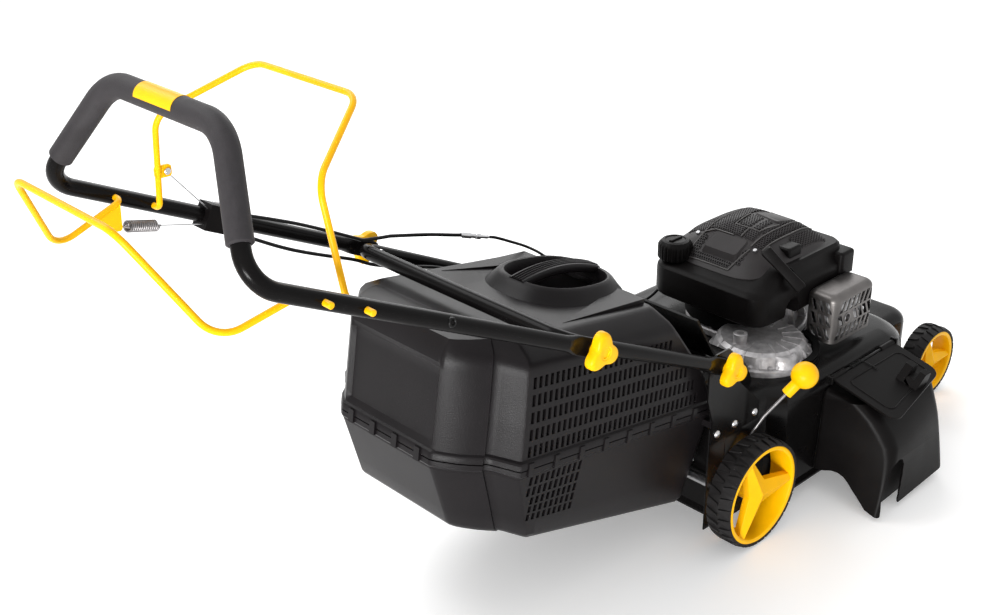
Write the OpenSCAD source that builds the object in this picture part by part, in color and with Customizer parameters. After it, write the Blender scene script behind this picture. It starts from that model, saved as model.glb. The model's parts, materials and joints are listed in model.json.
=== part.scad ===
// Walk-behind petrol rotary lawn mower with a rear grass box and a side discharge chute.
// Machine axes: x forward from the rear axle, y to the machine's left, z up from the ground.
// The whole machine is then moved so that the origin is the bottom centre of its outer box.

/* [Wheels] */
// Outer diameter of the rear tyres
rear_tyre_d = 200; // [165:1:240]
// Width of the rear tyres
rear_tyre_w = 50; // [40:1:56]
// Outer diameter of the front tyres
front_tyre_d = 152; // [130:1:180]
// Width of the front tyres
front_tyre_w = 44; // [36:1:50]
// Depth of tread and sidewall outside the rim
tyre_depth = 8; // [6:0.5:12]
// Distance between the axles
wheelbase = 687; // [660:1:830]
// Rear wheels, outside to outside
rear_track = 582; // [576:1:640]
// Front wheels, outside to outside
front_track = 450; // [440:1:500]
// Diameter of the wheel spindles
spindle_d = 12; // [10:0.5:15]

/* [Handle] */
// Outer diameter of the handle tubes
tube_d = 24; // [20:0.5:29]
// Wall of the handle tubes
tube_wall = 1.6; // [1.2:0.1:2.4]
// Slope of the handle above level
handle_angle = 26.4; // [25:0.2:32]
// Lower handle, from its pivot to the upper knob
lower_reach = 396; // [390:1:440]
// Upper handle, from the upper knob to the bend of the loop
upper_reach = 612; // [510:1:735]
// Half width of the lower handle at its pivots
lower_half_w = 230; // [228:1:245]
// Half width of the lower handle at its crossbar
cross_half_w = 238; // [234:1:250]
// Half width of the upper handle at its bends
bend_half_w = 235; // [225:1:245]
// Half width of the grip bar between its corners
grip_half_w = 127; // [110:1:140]
// Outer diameter of the foam grip
foam_d = 33; // [31:0.5:40]
// Diameter of the handle bolts
bolt_d = 8; // [6:0.2:10]
// Diameter of the bail wire
bail_d = 8; // [6:0.2:10]
// Radius of the rope guide hole in the right upper leg
rope_hole_r = 4; // [3:0.1:5]

/* [Deck] */
// Half width of the cutting chamber
deck_half_w = 250; // [246:1:260]
// Half width of the deck between the rear wheels
neck_half_w = 222; // [218:0.5:223]
// Height of the deck's lower edge above the ground
deck_low = 30; // [20:1:40]
// Height of the deck's top above the ground
deck_top = 235; // [228:1:240]
// Thickness of the deck sheet
deck_wall = 3; // [2:0.1:4]
// Distance of the crankshaft ahead of the rear axle
engine_x = 320; // [316:1:330]
// Length of the blade
blade_len = 460; // [420:1:464]
// Diameter of the crankshaft
crank_d = 25; // [22:0.2:28]

/* [Grass box] */
// Tilt of the box, rear end up
box_tilt = 9.6; // [8:0.1:11]
// Length of the box along its seam
box_len = 553; // [500:1:600]
// Half width of the box at its seam
box_half_w = 204; // [180:1:206]
// Height of the hood above the seam
hood_h = 188; // [150:1:189]
// Depth of the tray below the seam at its front
tray_h = 188; // [150:1:200]
// Thickness of the box walls
box_wall = 3; // [2:0.2:4]

/* [Controls] */
// Diameter of the height lever's ball
lever_ball_d = 44; // [36:1:50]
// Diameter of the height lever rod
lever_d = 8; // [6:0.2:8.4]
// Overall width of the three-lobed knobs
knob_d = 58; // [48:1:64]
// Diameter of the control cable sheaths
sheath_d = 6; // [5:0.2:7]

/* [Hidden] */
$fn = 48;

// Clearances
run_gap = 0.05;
seat_gap = 0.3;
fold_gap = 0.5;

// Colours
black_paint = "#17171a";
black_plastic = "#232325";
foam_grey = "#2e2e31";
yellow = "#f4b40c";
steel = "#a8abb0";
alloy = "#9b9ea3";
rubber = "#1b1b1c";

// Handle, worked out along its slope from the lower pivot
lower_pivot = [-54, 0, 351];
handle_dir = [-cos(handle_angle), 0, sin(handle_angle)];
handle_up = [sin(handle_angle), 0, cos(handle_angle)];
upper_pivot = lower_pivot + lower_reach * handle_dir;
bend_point = upper_pivot + upper_reach * handle_dir;
flat_t = 8;
flat_h = 30;
flat_end = 22;
flat_len = 46;
crossbar_past_knob = 38;
crossbar_s = lower_reach + crossbar_past_knob;
lower_lean = (cross_half_w - lower_half_w) / crossbar_s;
knob_leg_y = lower_half_w + lower_lean * lower_reach;
upper_flat_y = knob_leg_y + tube_d / 2 + fold_gap + flat_t / 2;
upper_lean = (bend_half_w - upper_flat_y) / (upper_reach - flat_len);
knob_h = 22;
lower_knob_y = lower_half_w + flat_t / 2 + fold_gap;
upper_knob_y = upper_flat_y + flat_t / 2 + fold_gap;
grip_rise = [60, 146];
grip_corner = bend_point + [grip_rise.x, 0, grip_rise.y];
foam_start = 48;
tube_sides = 24;
wire_sides = 12;
crossbar_bend = 35;
loop_bend = 46;
grip_bend = 70;
function upper_leg_y(s) = upper_flat_y + upper_lean * (s - flat_len);
function upper_leg(s, side) = upper_pivot + s * handle_dir + [0, side * upper_leg_y(s), 0];
function lower_leg(s, side) = lower_pivot + s * handle_dir + [0, side * (lower_half_w + lower_lean * s), 0];

// Bails, as offsets from their pivots on the upper handle
brake_pivot_s = 443;
drive_pivot_s = 508;
bail_tip = 14;
brake_pivot = upper_pivot + brake_pivot_s * handle_dir;
drive_pivot = upper_pivot + drive_pivot_s * handle_dir;
brake_knee = brake_pivot + [-7, 182, 145];
brake_bar = brake_pivot + [113, 110, 208];
drive_knee = drive_pivot + [-111, 192, -31];
drive_bar = drive_pivot + [-182, 119, 104];
bail_inset = tube_d / 2 + 16;
rope_hole_s = 320;
clamp_s = 336;
clamp_len = 34;
clamp_h = 40;
clamp_w = 34;

// Wheels and height adjuster
rear_axle_z = rear_tyre_d / 2;
front_axle_z = front_tyre_d / 2;
rear_wheel_y = rear_track / 2 - rear_tyre_w / 2;
front_wheel_y = front_track / 2 - front_tyre_w / 2;
hub_skin = 9;
arm_reach = 46;
arm_rise = 8;
crank_tube_d = 16;
arm_t = 4;
arm_w = 26;
link_arm = 50;
link_pin_d = 8;
link_d = 8;
open_pivot_gap = 0.4;
rear_crank = [-arm_reach, 0, rear_axle_z + arm_rise];
front_crank = [wheelbase - arm_reach, 0, front_axle_z + arm_rise];
rear_arm_y = neck_half_w + 4.5 + arm_t / 2;
shelf_half_w = 150;
front_arm_y = shelf_half_w + 4 + arm_t / 2;
rear_link_y = 190;
front_link_y = 122;
lever_y = rear_arm_y + arm_t / 2 + 0.2 + lever_d / 2;
lever_route = [
    rear_crank + [2, -lever_y, 8],
    [0, -lever_y, rear_tyre_d + 15],
    [8, -lever_y - 15, rear_tyre_d + 50],
    [62, -lever_y - 42, rear_tyre_d + 81]
];
lever_end_dir = unit(lever_route[3] - lever_route[2]);
ball_centre = lever_route[3] + 16 * lever_end_dir;

// Deck
ear_x = -75;
neck_x = -30;
flank_x = rear_tyre_d / 2 + 14;
flank_slope = 24;
chamber_front = engine_x + blade_len / 2 + 22;
chamber_corner = 110;
shelf_top = 170;
shelf_low = 60;
shelf_front = wheelbase + 16;
hump_top = 297;
hump_half_w = 168;
mouth_half_w = 158;
mouth_low = 124;
window_x = [236, 440];
window_z = [62, 196];
rivet_d = 6;
rivet_head_d = 11;
rivet_z = deck_top - 14;
rivet_x = [-58, -9, 48];
bracket_t = 3;
pin_d = 6;
knuckle_d = 12;
rear_hinge = [22, 0, hump_top + 9];
rear_flap_len = 120;
rear_flap_half_w = 158;
rear_flap_angle = 58;
side_hinge = [(window_x[0] + window_x[1]) / 2, -deck_half_w - 7, deck_top - 9];
side_flap_len = 205;
side_flap_reach = 125;
side_flap_angle = 14;
flap_t = 4;

// Engine
engine_base = deck_top;
case_top = engine_base + 66;
flange_r = 118;
case_r = 100;
sump = [engine_x - 110, -115];
sump_r = 96;
engine_bolt_r = 106;
engine_bolt_d = 8;
cylinder_z = engine_base + 64;
cylinder_end = engine_x + 175;
barrel_r = 34;
shroud_x = [238, 455];
shroud_y = [-140, 125];
shroud_z = [case_top + seat_gap, 392];
shroud_wall = 3;
tank_x = [165, 235];
tank_z = [case_top + seat_gap, 372];
filler = [201, 90];
neck_d = 50;
cap_d = 70;
cap_h = 38;
cover_z = [shroud_z[1] + seat_gap, 442];
muffler_x = [320, 430];
muffler_y = [-194, -146];
muffler_z = [252, 334];
exhaust_y = -64;
guard_gap = 11;
guard_t = 2;
filter_y = 135;
grip_centre = [246, -127, 400];
grip_axis = [0.35, -0.62, -0.7];
rope_end = [264.7, -124.6, 385];
rope_d = 4;
crank_low = 72;
pulley_z = 176;
pulley_h = 16;
crank_pulley_r = 32;
gear_pulley_r = 45;
gear_shaft = [20, 135];
groove_depth = 6;
groove_z = 6;
groove_w = 4;
blade_z = 58;
blade_t = 4;
blade_w = 52;
blade_bolt_d = 10;
gearbox_y = [100, 172];

// Grass box, in its own tilted axes from the front of its seam
box_front = [-46, 0, 263];
dome_x = -219;
dome_r = [105, 98];
dome_h = 38;
bar_half_w = 20;
rear_flat = 105;
rear_step = [66, 88];

// Cable routes, from where the handle's cables end, through chosen points on the machine's left
cable_split_s = 60;
cable_split_y = 222;
drive_rise = 17;
brake_rise = -18;
adjuster_d = 11;
function split_point(s, y, rise) = upper_pivot + s * handle_dir + rise * handle_up + [0, y, 0];
drive_route = concat(
    [split_point(cable_split_s - 0.8, cable_split_y, drive_rise), split_point(44, 221, drive_rise + 1)],
    [[-400, 206, 562], [-340, 184, 553], [-290, 168, 542], [-278, 164, 540]]
);
gear_route = [
    [-230, 149, 526], [-218, 146, 522], [-190, 142, 508], [-140, 150, 480], [-80, 172, 440], [-20, 190, 390],
    [30, 198, 330], [52, 200, 280], [54, 200, 235.6]
];
brake_route = concat(
    [split_point(cable_split_s - 0.8, cable_split_y, brake_rise), split_point(44, 221, brake_rise)],
    [split_point(15, 218, brake_rise - 1)],
    [[-380, 213, 497], [-300, 211, 472], [-200, 211, 424], [-110, 212, 384], [-40, 208, 368], [40, 196, 360]],
    [[120, 180, 345], [200, 166, 326], [260, 158, 312], [292.6, 156, 308]]
);

// Outer box of the machine, which sets the origin
rear_end = drive_bar.x - bail_d / 2;
front_end = wheelbase + front_tyre_d / 2;
chute_out = 402;
chute_wall = 4;
left_end = rear_track / 2;
frame_shift = [-(rear_end + front_end) / 2, (chute_out - left_end) / 2, 0];

// General helpers
function unit(v) = v / norm(v);
function flip_y(p) = [p.x, -p.y, p.z];
function turn(p, i) = acos(unit(p[i] - p[i - 1]) * unit(p[i + 1] - p[i]));
function loop_points(half) = concat(half, [for (i = [len(half) - 1:-1:0]) flip_y(half[i])]);
function loop_radii(half) = concat(half, [for (i = [len(half) - 1:-1:0]) half[i]]);
function arc(centre, r, from, to, steps) = [
    for (k = [0:steps]) let (a = from + (to - from) * k / steps) centre + r * [cos(a), sin(a)]
];

// Level ring with rounded corners, for lofts
function round_ring(x, y, r, z) = let (
    near = [x[0] + r, y[0] + r],
    far = [x[1] - r, y[1] - r]
) [
    for (c = [[far.x, far.y, 0], [near.x, far.y, 90], [near.x, near.y, 180], [far.x, near.y, 270]])
        for (p = arc([c.x, c.y], r, c.z, c.z + 90, 4)) [p.x, p.y, z]
];

module place() translate(frame_shift) children();

module rod(a, b, d) {
    v = b - a;
    translate(a) rotate([0, acos(v.z / norm(v)), atan2(v.y, v.x)]) cylinder(d = d, h = norm(v));
}

// Round bar along y between two values, in either order
module across(d, y0, y1) translate([0, max(y0, y1), 0]) rotate([90, 0, 0]) cylinder(d = d, h = abs(y1 - y0));

// Round bar along x from a starting value
module along(d, x, h) translate([x, 0, 0]) rotate([0, 90, 0]) cylinder(d = d, h = h);

// Closed skin through level rings that all have the same number of points
module loft(rings) {
    n = len(rings[0]);
    last = (len(rings) - 1) * n;
    points = [for (level = rings) for (p = level) p];
    sides = [
        for (k = [0:len(rings) - 2]) for (i = [0:n - 1]) each [
            [k * n + i, (k + 1) * n + i, k * n + (i + 1) % n],
            [k * n + (i + 1) % n, (k + 1) * n + i, (k + 1) * n + (i + 1) % n]
        ]
    ];
    bottom = [[for (i = [0:n - 1]) i]];
    top = [[for (i = [n - 1:-1:0]) last + i]];
    polyhedron(points, concat(sides, bottom, top));
}

// Smooth curve through chosen points
function blend(a, b, c, d, t) = 0.5 * (2 * b + (c - a) * t + (2 * a - 5 * b + 4 * c - d) * t * t
    + (3 * b - a - 3 * c + d) * t * t * t);
function route(p, steps) = [
    for (i = [0:len(p) - 2]) for (k = [0:(i == len(p) - 2 ? steps : steps - 1)])
        blend(p[max(i - 1, 0)], p[i], p[i + 1], p[min(i + 2, len(p) - 1)], k / steps)
];

// Path through corner points, with an arc of its own radius at each inner corner
function bent_path(p, r, steps) = [
    for (i = [0:len(p) - 1]) each
        i == 0 || i == len(p) - 1 ? [p[i]] :
        let (
            u = unit(p[i] - p[i - 1]),
            w = unit(p[i + 1] - p[i]),
            n = unit(w - (u * w) * u),
            c = p[i] - r[i] * tan(turn(p, i) / 2) * u + r[i] * n
        )
        [for (k = [0:steps]) c + r[i] * (sin(turn(p, i) * k / steps) * u - cos(turn(p, i) * k / steps) * n)]
];

// Round bar swept along a path, its rings carried along without twist
module sweep(path, d, sides) {
    count = len(path);
    tangent = [
        for (i = [0:count - 1])
            i == 0 ? unit(path[1] - path[0]) :
            i == count - 1 ? unit(path[i] - path[i - 1]) :
            unit(unit(path[i + 1] - path[i]) + unit(path[i] - path[i - 1]))
    ];
    first = unit(cross(tangent[0], abs(tangent[0].z) > 0.7 ? [0, 1, 0] : [0, 0, 1]));
    side = [
        for (
            i = 0, s = first;
            i < count;
            i = i + 1, s = i < count ? unit(s - (s * tangent[i]) * tangent[i]) : s
        ) s
    ];
    loft([
        for (i = [0:count - 1])
            [for (k = [0:sides - 1]) path[i] + d / 2 * (cos(360 * k / sides) * side[i]
                + sin(360 * k / sides) * cross(tangent[i], side[i]))]
    ]);
}

module bent_rod(p, r, d, sides) sweep(bent_path(p, r, 6), d, sides);

// Wheels
module tyre(d, w) {
    r = d / 2;
    inner = r - tyre_depth;
    half = w / 2;
    rotate([90, 0, 0]) rotate_extrude()
        polygon([[inner, -half], [r - 4, -half], [r, 5 - half], [r, half - 5], [r - 4, half], [inner, half]]);
}

module rim(d, w, side) {
    r = d / 2 - tyre_depth - run_gap;
    hub_r = spindle_d / 2 + 12;
    half = w / 2;
    root = 0.8 * hub_r;
    tip = 0.2 * r;
    rotate([-90 * side, 0, 0]) difference() {
        union() {
            rotate_extrude() polygon([
                [r - 5, 1 - half], [r, 1 - half], [r, half - 1], [r - 14, half - 1], [r - 16, half - 5],
                [r - 5, half - 14]
            ]);
            translate([0, 0, 1 - half]) cylinder(r = hub_r, h = w - 4);
            for (k = [0:2]) rotate(120 * k) translate([0, 0, half - hub_skin - 2])
                linear_extrude(hub_skin - 2)
                polygon([[0, -root], [r - 10, -tip], [r - 8, 0], [r - 10, tip], [0, root]]);
        }
        translate([0, 0, -half]) cylinder(d = spindle_d + 2 * run_gap, h = w - hub_skin);
    }
}

module rear_wheel_at(side) translate([0, side * rear_wheel_y, rear_axle_z]) children();
module front_wheel_at(side) translate([wheelbase, side * front_wheel_y, front_axle_z]) children();
module tyre_rear_left() place() color(rubber) rear_wheel_at(1) tyre(rear_tyre_d, rear_tyre_w);
module tyre_rear_right() place() color(rubber) rear_wheel_at(-1) tyre(rear_tyre_d, rear_tyre_w);
module tyre_front_left() place() color(rubber) front_wheel_at(1) tyre(front_tyre_d, front_tyre_w);
module tyre_front_right() place() color(rubber) front_wheel_at(-1) tyre(front_tyre_d, front_tyre_w);
module rim_rear_left() place() color(yellow) rear_wheel_at(1) rim(rear_tyre_d, rear_tyre_w, 1);
module rim_rear_right() place() color(yellow) rear_wheel_at(-1) rim(rear_tyre_d, rear_tyre_w, -1);
module rim_front_left() place() color(yellow) front_wheel_at(1) rim(front_tyre_d, front_tyre_w, 1);
module rim_front_right() place() color(yellow) front_wheel_at(-1) rim(front_tyre_d, front_tyre_w, -1);

// Flat arm in an xz plane with two round ends
function arm_outline(a, b, r) = let (lean = atan2(b.z - a.z, b.x - a.x))
    concat(arc([b.x, b.z], r, lean - 90, lean + 90, 8), arc([a.x, a.z], r, lean + 90, lean + 270, 8));

module arm_plate(a, b, y, w, t) translate([0, y + t / 2, 0]) rotate([90, 0, 0]) linear_extrude(t)
    polygon(arm_outline(a, b, w / 2));

module rear_axle() place() color(steel) {
    translate(rear_crank) across(crank_tube_d, -rear_arm_y, rear_arm_y);
    spindle_end = rear_track / 2 - hub_skin - 2;
    translate([0, 0, rear_axle_z]) across(spindle_d, -spindle_end, spindle_end);
    for (side = [-1, 1]) arm_plate(rear_crank, [0, 0, rear_axle_z], side * rear_arm_y, arm_w, arm_t);
    arm_plate(rear_crank, rear_crank + [0, 0, link_arm], rear_link_y + arm_t / 2 + 4, 20, arm_t);
    translate(rear_crank + [0, 0, link_arm]) across(link_pin_d, rear_link_y - 8, rear_link_y + 6);
}

module front_axle() place() color(steel) {
    translate(front_crank) across(crank_tube_d, -front_arm_y, front_arm_y);
    for (side = [-1, 1]) {
        arm_plate(front_crank, [wheelbase, 0, front_axle_z], side * front_arm_y, arm_w, arm_t);
        translate([wheelbase, 0, front_axle_z])
            across(spindle_d, side * (front_arm_y - arm_t / 2), side * (front_track / 2 - hub_skin - 2));
    }
    arm_plate(front_crank, front_crank + [0, 0, link_arm], front_link_y - arm_t / 2 - 4, 20, arm_t);
    translate(front_crank + [0, 0, link_arm]) across(link_pin_d, front_link_y - 6, front_link_y + 8);
}

module link_rod() place() color(steel) {
    a = rear_crank + [0, rear_link_y, link_arm];
    b = front_crank + [0, front_link_y, link_arm];
    eye_d = link_pin_d + 8;
    difference() {
        union() {
            rod(a, b, link_d);
            for (p = [a, b]) translate(p) across(eye_d, -3.5, 3.5);
        }
        translate(a) across(link_pin_d + 2 * run_gap, -10, 10);
        translate(b) across(link_pin_d + 2 * open_pivot_gap, -10, 10);
    }
}

module height_lever() place() color(steel) bent_rod(lever_route, [0, 20, 18, 0], lever_d, wire_sides);

module lever_ball() place() color(yellow) difference() {
    union() {
        translate(ball_centre) sphere(d = lever_ball_d);
        rod(ball_centre - 42 * lever_end_dir, ball_centre, 18);
    }
    rod(ball_centre - 60 * lever_end_dir, lever_route[3] + fold_gap * lever_end_dir, lever_d + 2 * run_gap);
}

// Deck
function deck_outline(inset) = let (
    corner = [chamber_front - chamber_corner, deck_half_w - chamber_corner],
    flank = flank_x + inset,
    neck_y = neck_half_w - inset,
    deck_y = deck_half_w - inset
) concat(
    [[neck_x + inset, -neck_y], [flank - flank_slope, -neck_y], [flank, -deck_y]],
    arc([corner.x, -corner.y], chamber_corner - inset, -90, 0, 8),
    arc(corner, chamber_corner - inset, 0, 90, 8),
    [[flank, deck_y], [flank - flank_slope, neck_y], [neck_x + inset, neck_y]]
);

module deck_volume(inset) {
    low = inset > 0 ? deck_low - 10 : deck_low;
    translate([0, 0, low]) linear_extrude(deck_top - inset - low) polygon(deck_outline(inset));
    shelf_base = inset > 0 ? shelf_low - 40 : shelf_low;
    shelf_len = shelf_front - inset - chamber_front + 30;
    translate([chamber_front - 30, inset - shelf_half_w, shelf_base])
        cube([shelf_len, 2 * (shelf_half_w - inset), shelf_top - inset - shelf_base]);
    translate([neck_x + inset, inset - hump_half_w, deck_top - 40])
        cube([flank_x - neck_x - 2 * inset, 2 * (hump_half_w - inset), hump_top - inset - deck_top + 40]);
}

module hinge_ears() {
    for (side = [-1, 1]) {
        translate([rear_hinge.x - 8, side * (hump_half_w - 3) - 3, hump_top - 8]) cube([16, 6, 24]);
        translate([side_hinge.x + side * (side_flap_len / 2 + 5) - 3, side_hinge.y - 7, side_hinge.z - 8])
            cube([6, -deck_half_w - side_hinge.y + 8, 16]);
    }
}

module rivet_points() {
    for (x = rivet_x) translate([x, 0, rivet_z]) children();
}

module engine_bolt_points() {
    for (k = [0:2]) translate([engine_x, 0, 0]) rotate(60 + 120 * k) translate([engine_bolt_r, 0, 0])
        children();
}

module deck_shell() place() color(black_paint) difference() {
    union() {
        difference() {
            deck_volume(0);
            deck_volume(deck_wall);
        }
        for (side = [-1, 1])
            translate([ear_x, side * (neck_half_w - deck_wall / 2) - deck_wall / 2, deck_low])
                cube([neck_x - ear_x + deck_wall, deck_wall, deck_top - deck_low]);
        hinge_ears();
    }
    translate([neck_x - 10, -mouth_half_w, mouth_low]) cube([20, 2 * mouth_half_w, hump_top - mouth_low - 8]);
    translate([neck_x - 10, hump_half_w + 6, rear_crank.z - 4])
        cube([20, neck_half_w - hump_half_w - 14, 90]);
    translate([window_x[0], -deck_half_w - 10, window_z[0]])
        cube([window_x[1] - window_x[0], 20, window_z[1] - window_z[0]]);
    translate([engine_x, 0, deck_top - 10]) cylinder(d = crank_d + 24, h = 20);
    engine_bolt_points() translate([0, 0, deck_top - 10]) cylinder(d = engine_bolt_d + 2 * run_gap, h = 20);
    translate(rear_crank) across(crank_tube_d + 2 * run_gap, -neck_half_w - 5, neck_half_w + 5);
    translate(front_crank) across(crank_tube_d + 2 * run_gap, -shelf_half_w - 5, shelf_half_w + 5);
    for (side = [-1, 1]) translate([-26, side * neck_half_w - 10, rear_axle_z - 32]) cube([40, 20, 64]);
    rivet_points() across(rivet_d, -neck_half_w - 5, neck_half_w + 5);
    translate(rear_hinge) across(pin_d + 2 * run_gap, -hump_half_w - 10, hump_half_w + 10);
    translate(side_hinge) along(pin_d + 2 * run_gap, -side_flap_len, 2 * side_flap_len);
}

module bracket(side) {
    outline = [
        [-72, rivet_z - 16], [60, rivet_z - 16], [60, rivet_z + 18], [-2, 300], [-22, 362], [-38, 378],
        [-72, 378], [-88, 362], [-88, 296], [-72, 250]
    ];
    difference() {
        translate([0, side * (neck_half_w + bracket_t / 2) + bracket_t / 2, 0]) rotate([90, 0, 0])
            linear_extrude(bracket_t) polygon(outline);
        translate(lower_pivot) across(bolt_d + 2 * run_gap, -300, 300);
        rivet_points() across(rivet_d, -300, 300);
    }
}
module handle_bracket_left() place() color(black_paint) bracket(1);
module handle_bracket_right() place() color(black_paint) bracket(-1);

module deck_fasteners() place() color(steel) {
    for (side = [-1, 1]) rivet_points() {
        inside = side * (neck_half_w - deck_wall);
        outside = side * (neck_half_w + bracket_t);
        across(rivet_d - 2 * run_gap, inside, outside);
        across(rivet_head_d, outside, outside + 2 * side);
        across(rivet_head_d, inside, inside - 2 * side);
    }
    engine_bolt_points() {
        translate([0, 0, deck_top - deck_wall - 6]) cylinder(d = 14, h = 6, $fn = 6);
        translate([0, 0, deck_top - deck_wall - 2]) cylinder(d = engine_bolt_d, h = deck_wall + 16);
    }
}

module flap_pins() place() color(steel) {
    translate(rear_hinge) across(pin_d, -hump_half_w - 4, hump_half_w + 4);
    pin_len = side_flap_len + 22;
    translate(side_hinge) along(pin_d, -pin_len / 2, pin_len);
}

module rear_flap() place() color(black_paint) translate(rear_hinge) difference() {
    union() {
        rotate([0, rear_flap_angle, 0]) translate([-rear_flap_len, -rear_flap_half_w, -flap_t / 2])
            cube([rear_flap_len, 2 * rear_flap_half_w, flap_t]);
        for (y = [-110, 0, 110]) across(knuckle_d, y - 20, y + 20);
    }
    across(pin_d + 2 * run_gap, -200, 200);
    for (y = [-55, 55]) translate([-9, y - 34, -9]) cube([18, 68, 18]);
    for (y = [-155, 155]) translate([-9, y - 24, -9]) cube([18, 48, 18]);
}

module side_flap() place() color(black_plastic) translate(side_hinge) difference() {
    union() {
        rotate([side_flap_angle, 0, 0]) translate([-side_flap_len / 2, -side_flap_reach, -flap_t / 2])
            cube([side_flap_len, side_flap_reach - pin_d * 0.75, flap_t]);
        for (x = [1 - side_flap_len / 2, side_flap_len / 2 - 43]) along(knuckle_d, x, 42);
    }
    along(pin_d + 2 * run_gap, -side_flap_len, 2 * side_flap_len);
}

function chute_foot(x, y) = [x, y, 8 + 0.06 * (x - 197) + 0.2 * (y + chute_out)];
function chute_roof(x, y, drop) = [x, y, 205 - drop + 0.14 * (y + deck_half_w)];

module side_chute() place() color(black_plastic) difference() {
    near = -deck_half_w - 0.6;
    past = -deck_half_w + 9;
    foot = [[197, -chute_out], [432, -chute_out], [440, near], [212, near]];
    roof = [[262, -372], [450, -352], [440, near], [222, near]];
    inner_foot = [[203, 4 - chute_out], [426, 4 - chute_out], [436, past], [217, past]];
    inner_roof = [[267, -367], [445, -347], [436, past], [227, past]];
    loft([[for (p = foot) chute_foot(p.x, p.y)], [for (p = roof) chute_roof(p.x, p.y, 0)]]);
    loft([[for (p = inner_foot) [p.x, p.y, -20]], [for (p = inner_roof) chute_roof(p.x, p.y, chute_wall)]]);
    translate([272, -chute_out - 10, -10]) cube([26, 30, 46]);
}

// Engine
module engine_block() place() color(alloy) difference() {
    union() {
        translate([engine_x, 0, engine_base]) cylinder(r = flange_r, h = 14);
        translate([engine_x, 0, engine_base]) cylinder(r = case_r, h = case_top - engine_base);
        translate([each sump, engine_base]) cylinder(r = sump_r, h = 28);
        translate([each sump, engine_base]) cylinder(r = sump_r - 12, h = 40);
        translate([sump.x - 50, sump.y + 11, engine_base]) cylinder(r = 13, h = 58);
        translate([sump.x - 23, sump.y - 74, engine_base]) cylinder(r = 18, h = 46);
        translate([engine_x + 16, 40, engine_base + 24]) cube([44, case_r - 40, 40]);
        translate([0, 0, cylinder_z]) along(2 * barrel_r, engine_x + 72, cylinder_end - engine_x - 72);
        for (k = [0:5]) translate([engine_x + 108 + 12 * k, -50, cylinder_z - 44]) cube([5, 100, 88]);
    }
    translate([engine_x, 0, engine_base - 10]) cylinder(d = crank_d + 2 * run_gap, h = 200);
    engine_bolt_points() translate([0, 0, engine_base - 10])
        cylinder(d = engine_bolt_d + 2 * run_gap, h = 26);
}

module blower_shroud() place() color(black_plastic) difference() {
    loft([
        round_ring(shroud_x, shroud_y, 34, shroud_z[0]),
        round_ring(shroud_x, shroud_y, 34, shroud_z[1] - 22),
        round_ring(shroud_x + [14, -30], shroud_y + [22, -20], 30, shroud_z[1])
    ]);
    loft([
        round_ring(shroud_x + shroud_wall * [1, -1], shroud_y + shroud_wall * [1, -1], 31, shroud_z[0] - 5),
        round_ring(shroud_x + shroud_wall * [1, -1], shroud_y + shroud_wall * [1, -1], 31, shroud_z[1] - 24),
        round_ring(shroud_x + [18, -34], shroud_y + [26, -24], 28, shroud_z[1] - shroud_wall)
    ]);
    translate([engine_x, -10, shroud_z[1] - 10]) cylinder(r = 68, h = 20);
    translate([muffler_x[0] - 60, shroud_y[0] - 10, shroud_z[0] - 5]) cube([50, 30, 40]);
    translate([cylinder_end - 70, -60, shroud_z[0] - 5]) cube([60, 120, 50]);
}

module top_cover() place() color(black_plastic) difference() {
    loft([
        round_ring([254, 422], [-112, 98], 26, cover_z[0]),
        round_ring([258, 418], [-108, 92], 26, cover_z[0] + 30),
        round_ring([274, 392], [-82, 64], 24, cover_z[1])
    ]);
    loft([
        round_ring([258, 418], [-108, 94], 24, cover_z[0] - 5),
        round_ring([262, 414], [-104, 88], 24, cover_z[0] + 28),
        round_ring([278, 388], [-78, 60], 22, cover_z[1] - 3)
    ]);
    for (k = [0:6]) translate([284 + 16 * k, -70, cover_z[1] - 10]) cube([6, 120, 20]);
}

module fuel_tank() place() color(black_plastic) difference() {
    union() {
        loft([
            round_ring(tank_x + [3, 0], [-124, 121], 22, tank_z[0]),
            round_ring(tank_x, [-128, 125], 22, tank_z[0] + 20),
            round_ring(tank_x + [2, 0], [-126, 123], 22, tank_z[1])
        ]);
        translate([filler.x, filler.y, tank_z[1] - 5]) cylinder(d = neck_d, h = 27);
    }
    loft([
        round_ring(tank_x + [7, -4], [-118, 115], 18, tank_z[0] + 4),
        round_ring(tank_x + [6, -4], [-120, 117], 18, tank_z[1] - 4)
    ]);
    translate([filler.x, filler.y, tank_z[1] - 20]) cylinder(d = neck_d - 6, h = 60);
}

module fuel_cap() place() color(black_plastic) translate([each filler, tank_z[1] + seat_gap]) difference() {
    union() {
        cylinder(d = cap_d, h = cap_h);
        for (k = [0:11]) rotate(30 * k) translate([cap_d / 2 - 1, -3, 6]) cube([2.5, 6, cap_h - 14]);
    }
    translate([0, 0, -1]) cylinder(d = neck_d + 2 * seat_gap, h = 27);
}

module muffler() place() color(steel) {
    loft([for (z = muffler_z) round_ring(muffler_x, muffler_y, 18, z)]);
    translate([engine_x + 90, 0, cylinder_z - 16]) across(26, muffler_y[1] - 4, exhaust_y);
    for (x = [muffler_x[0] + 25, muffler_x[1] - 25]) translate([x, muffler_y[0], muffler_z[0] + 40])
        across(10, seat_gap - guard_gap, 5);
}

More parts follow.
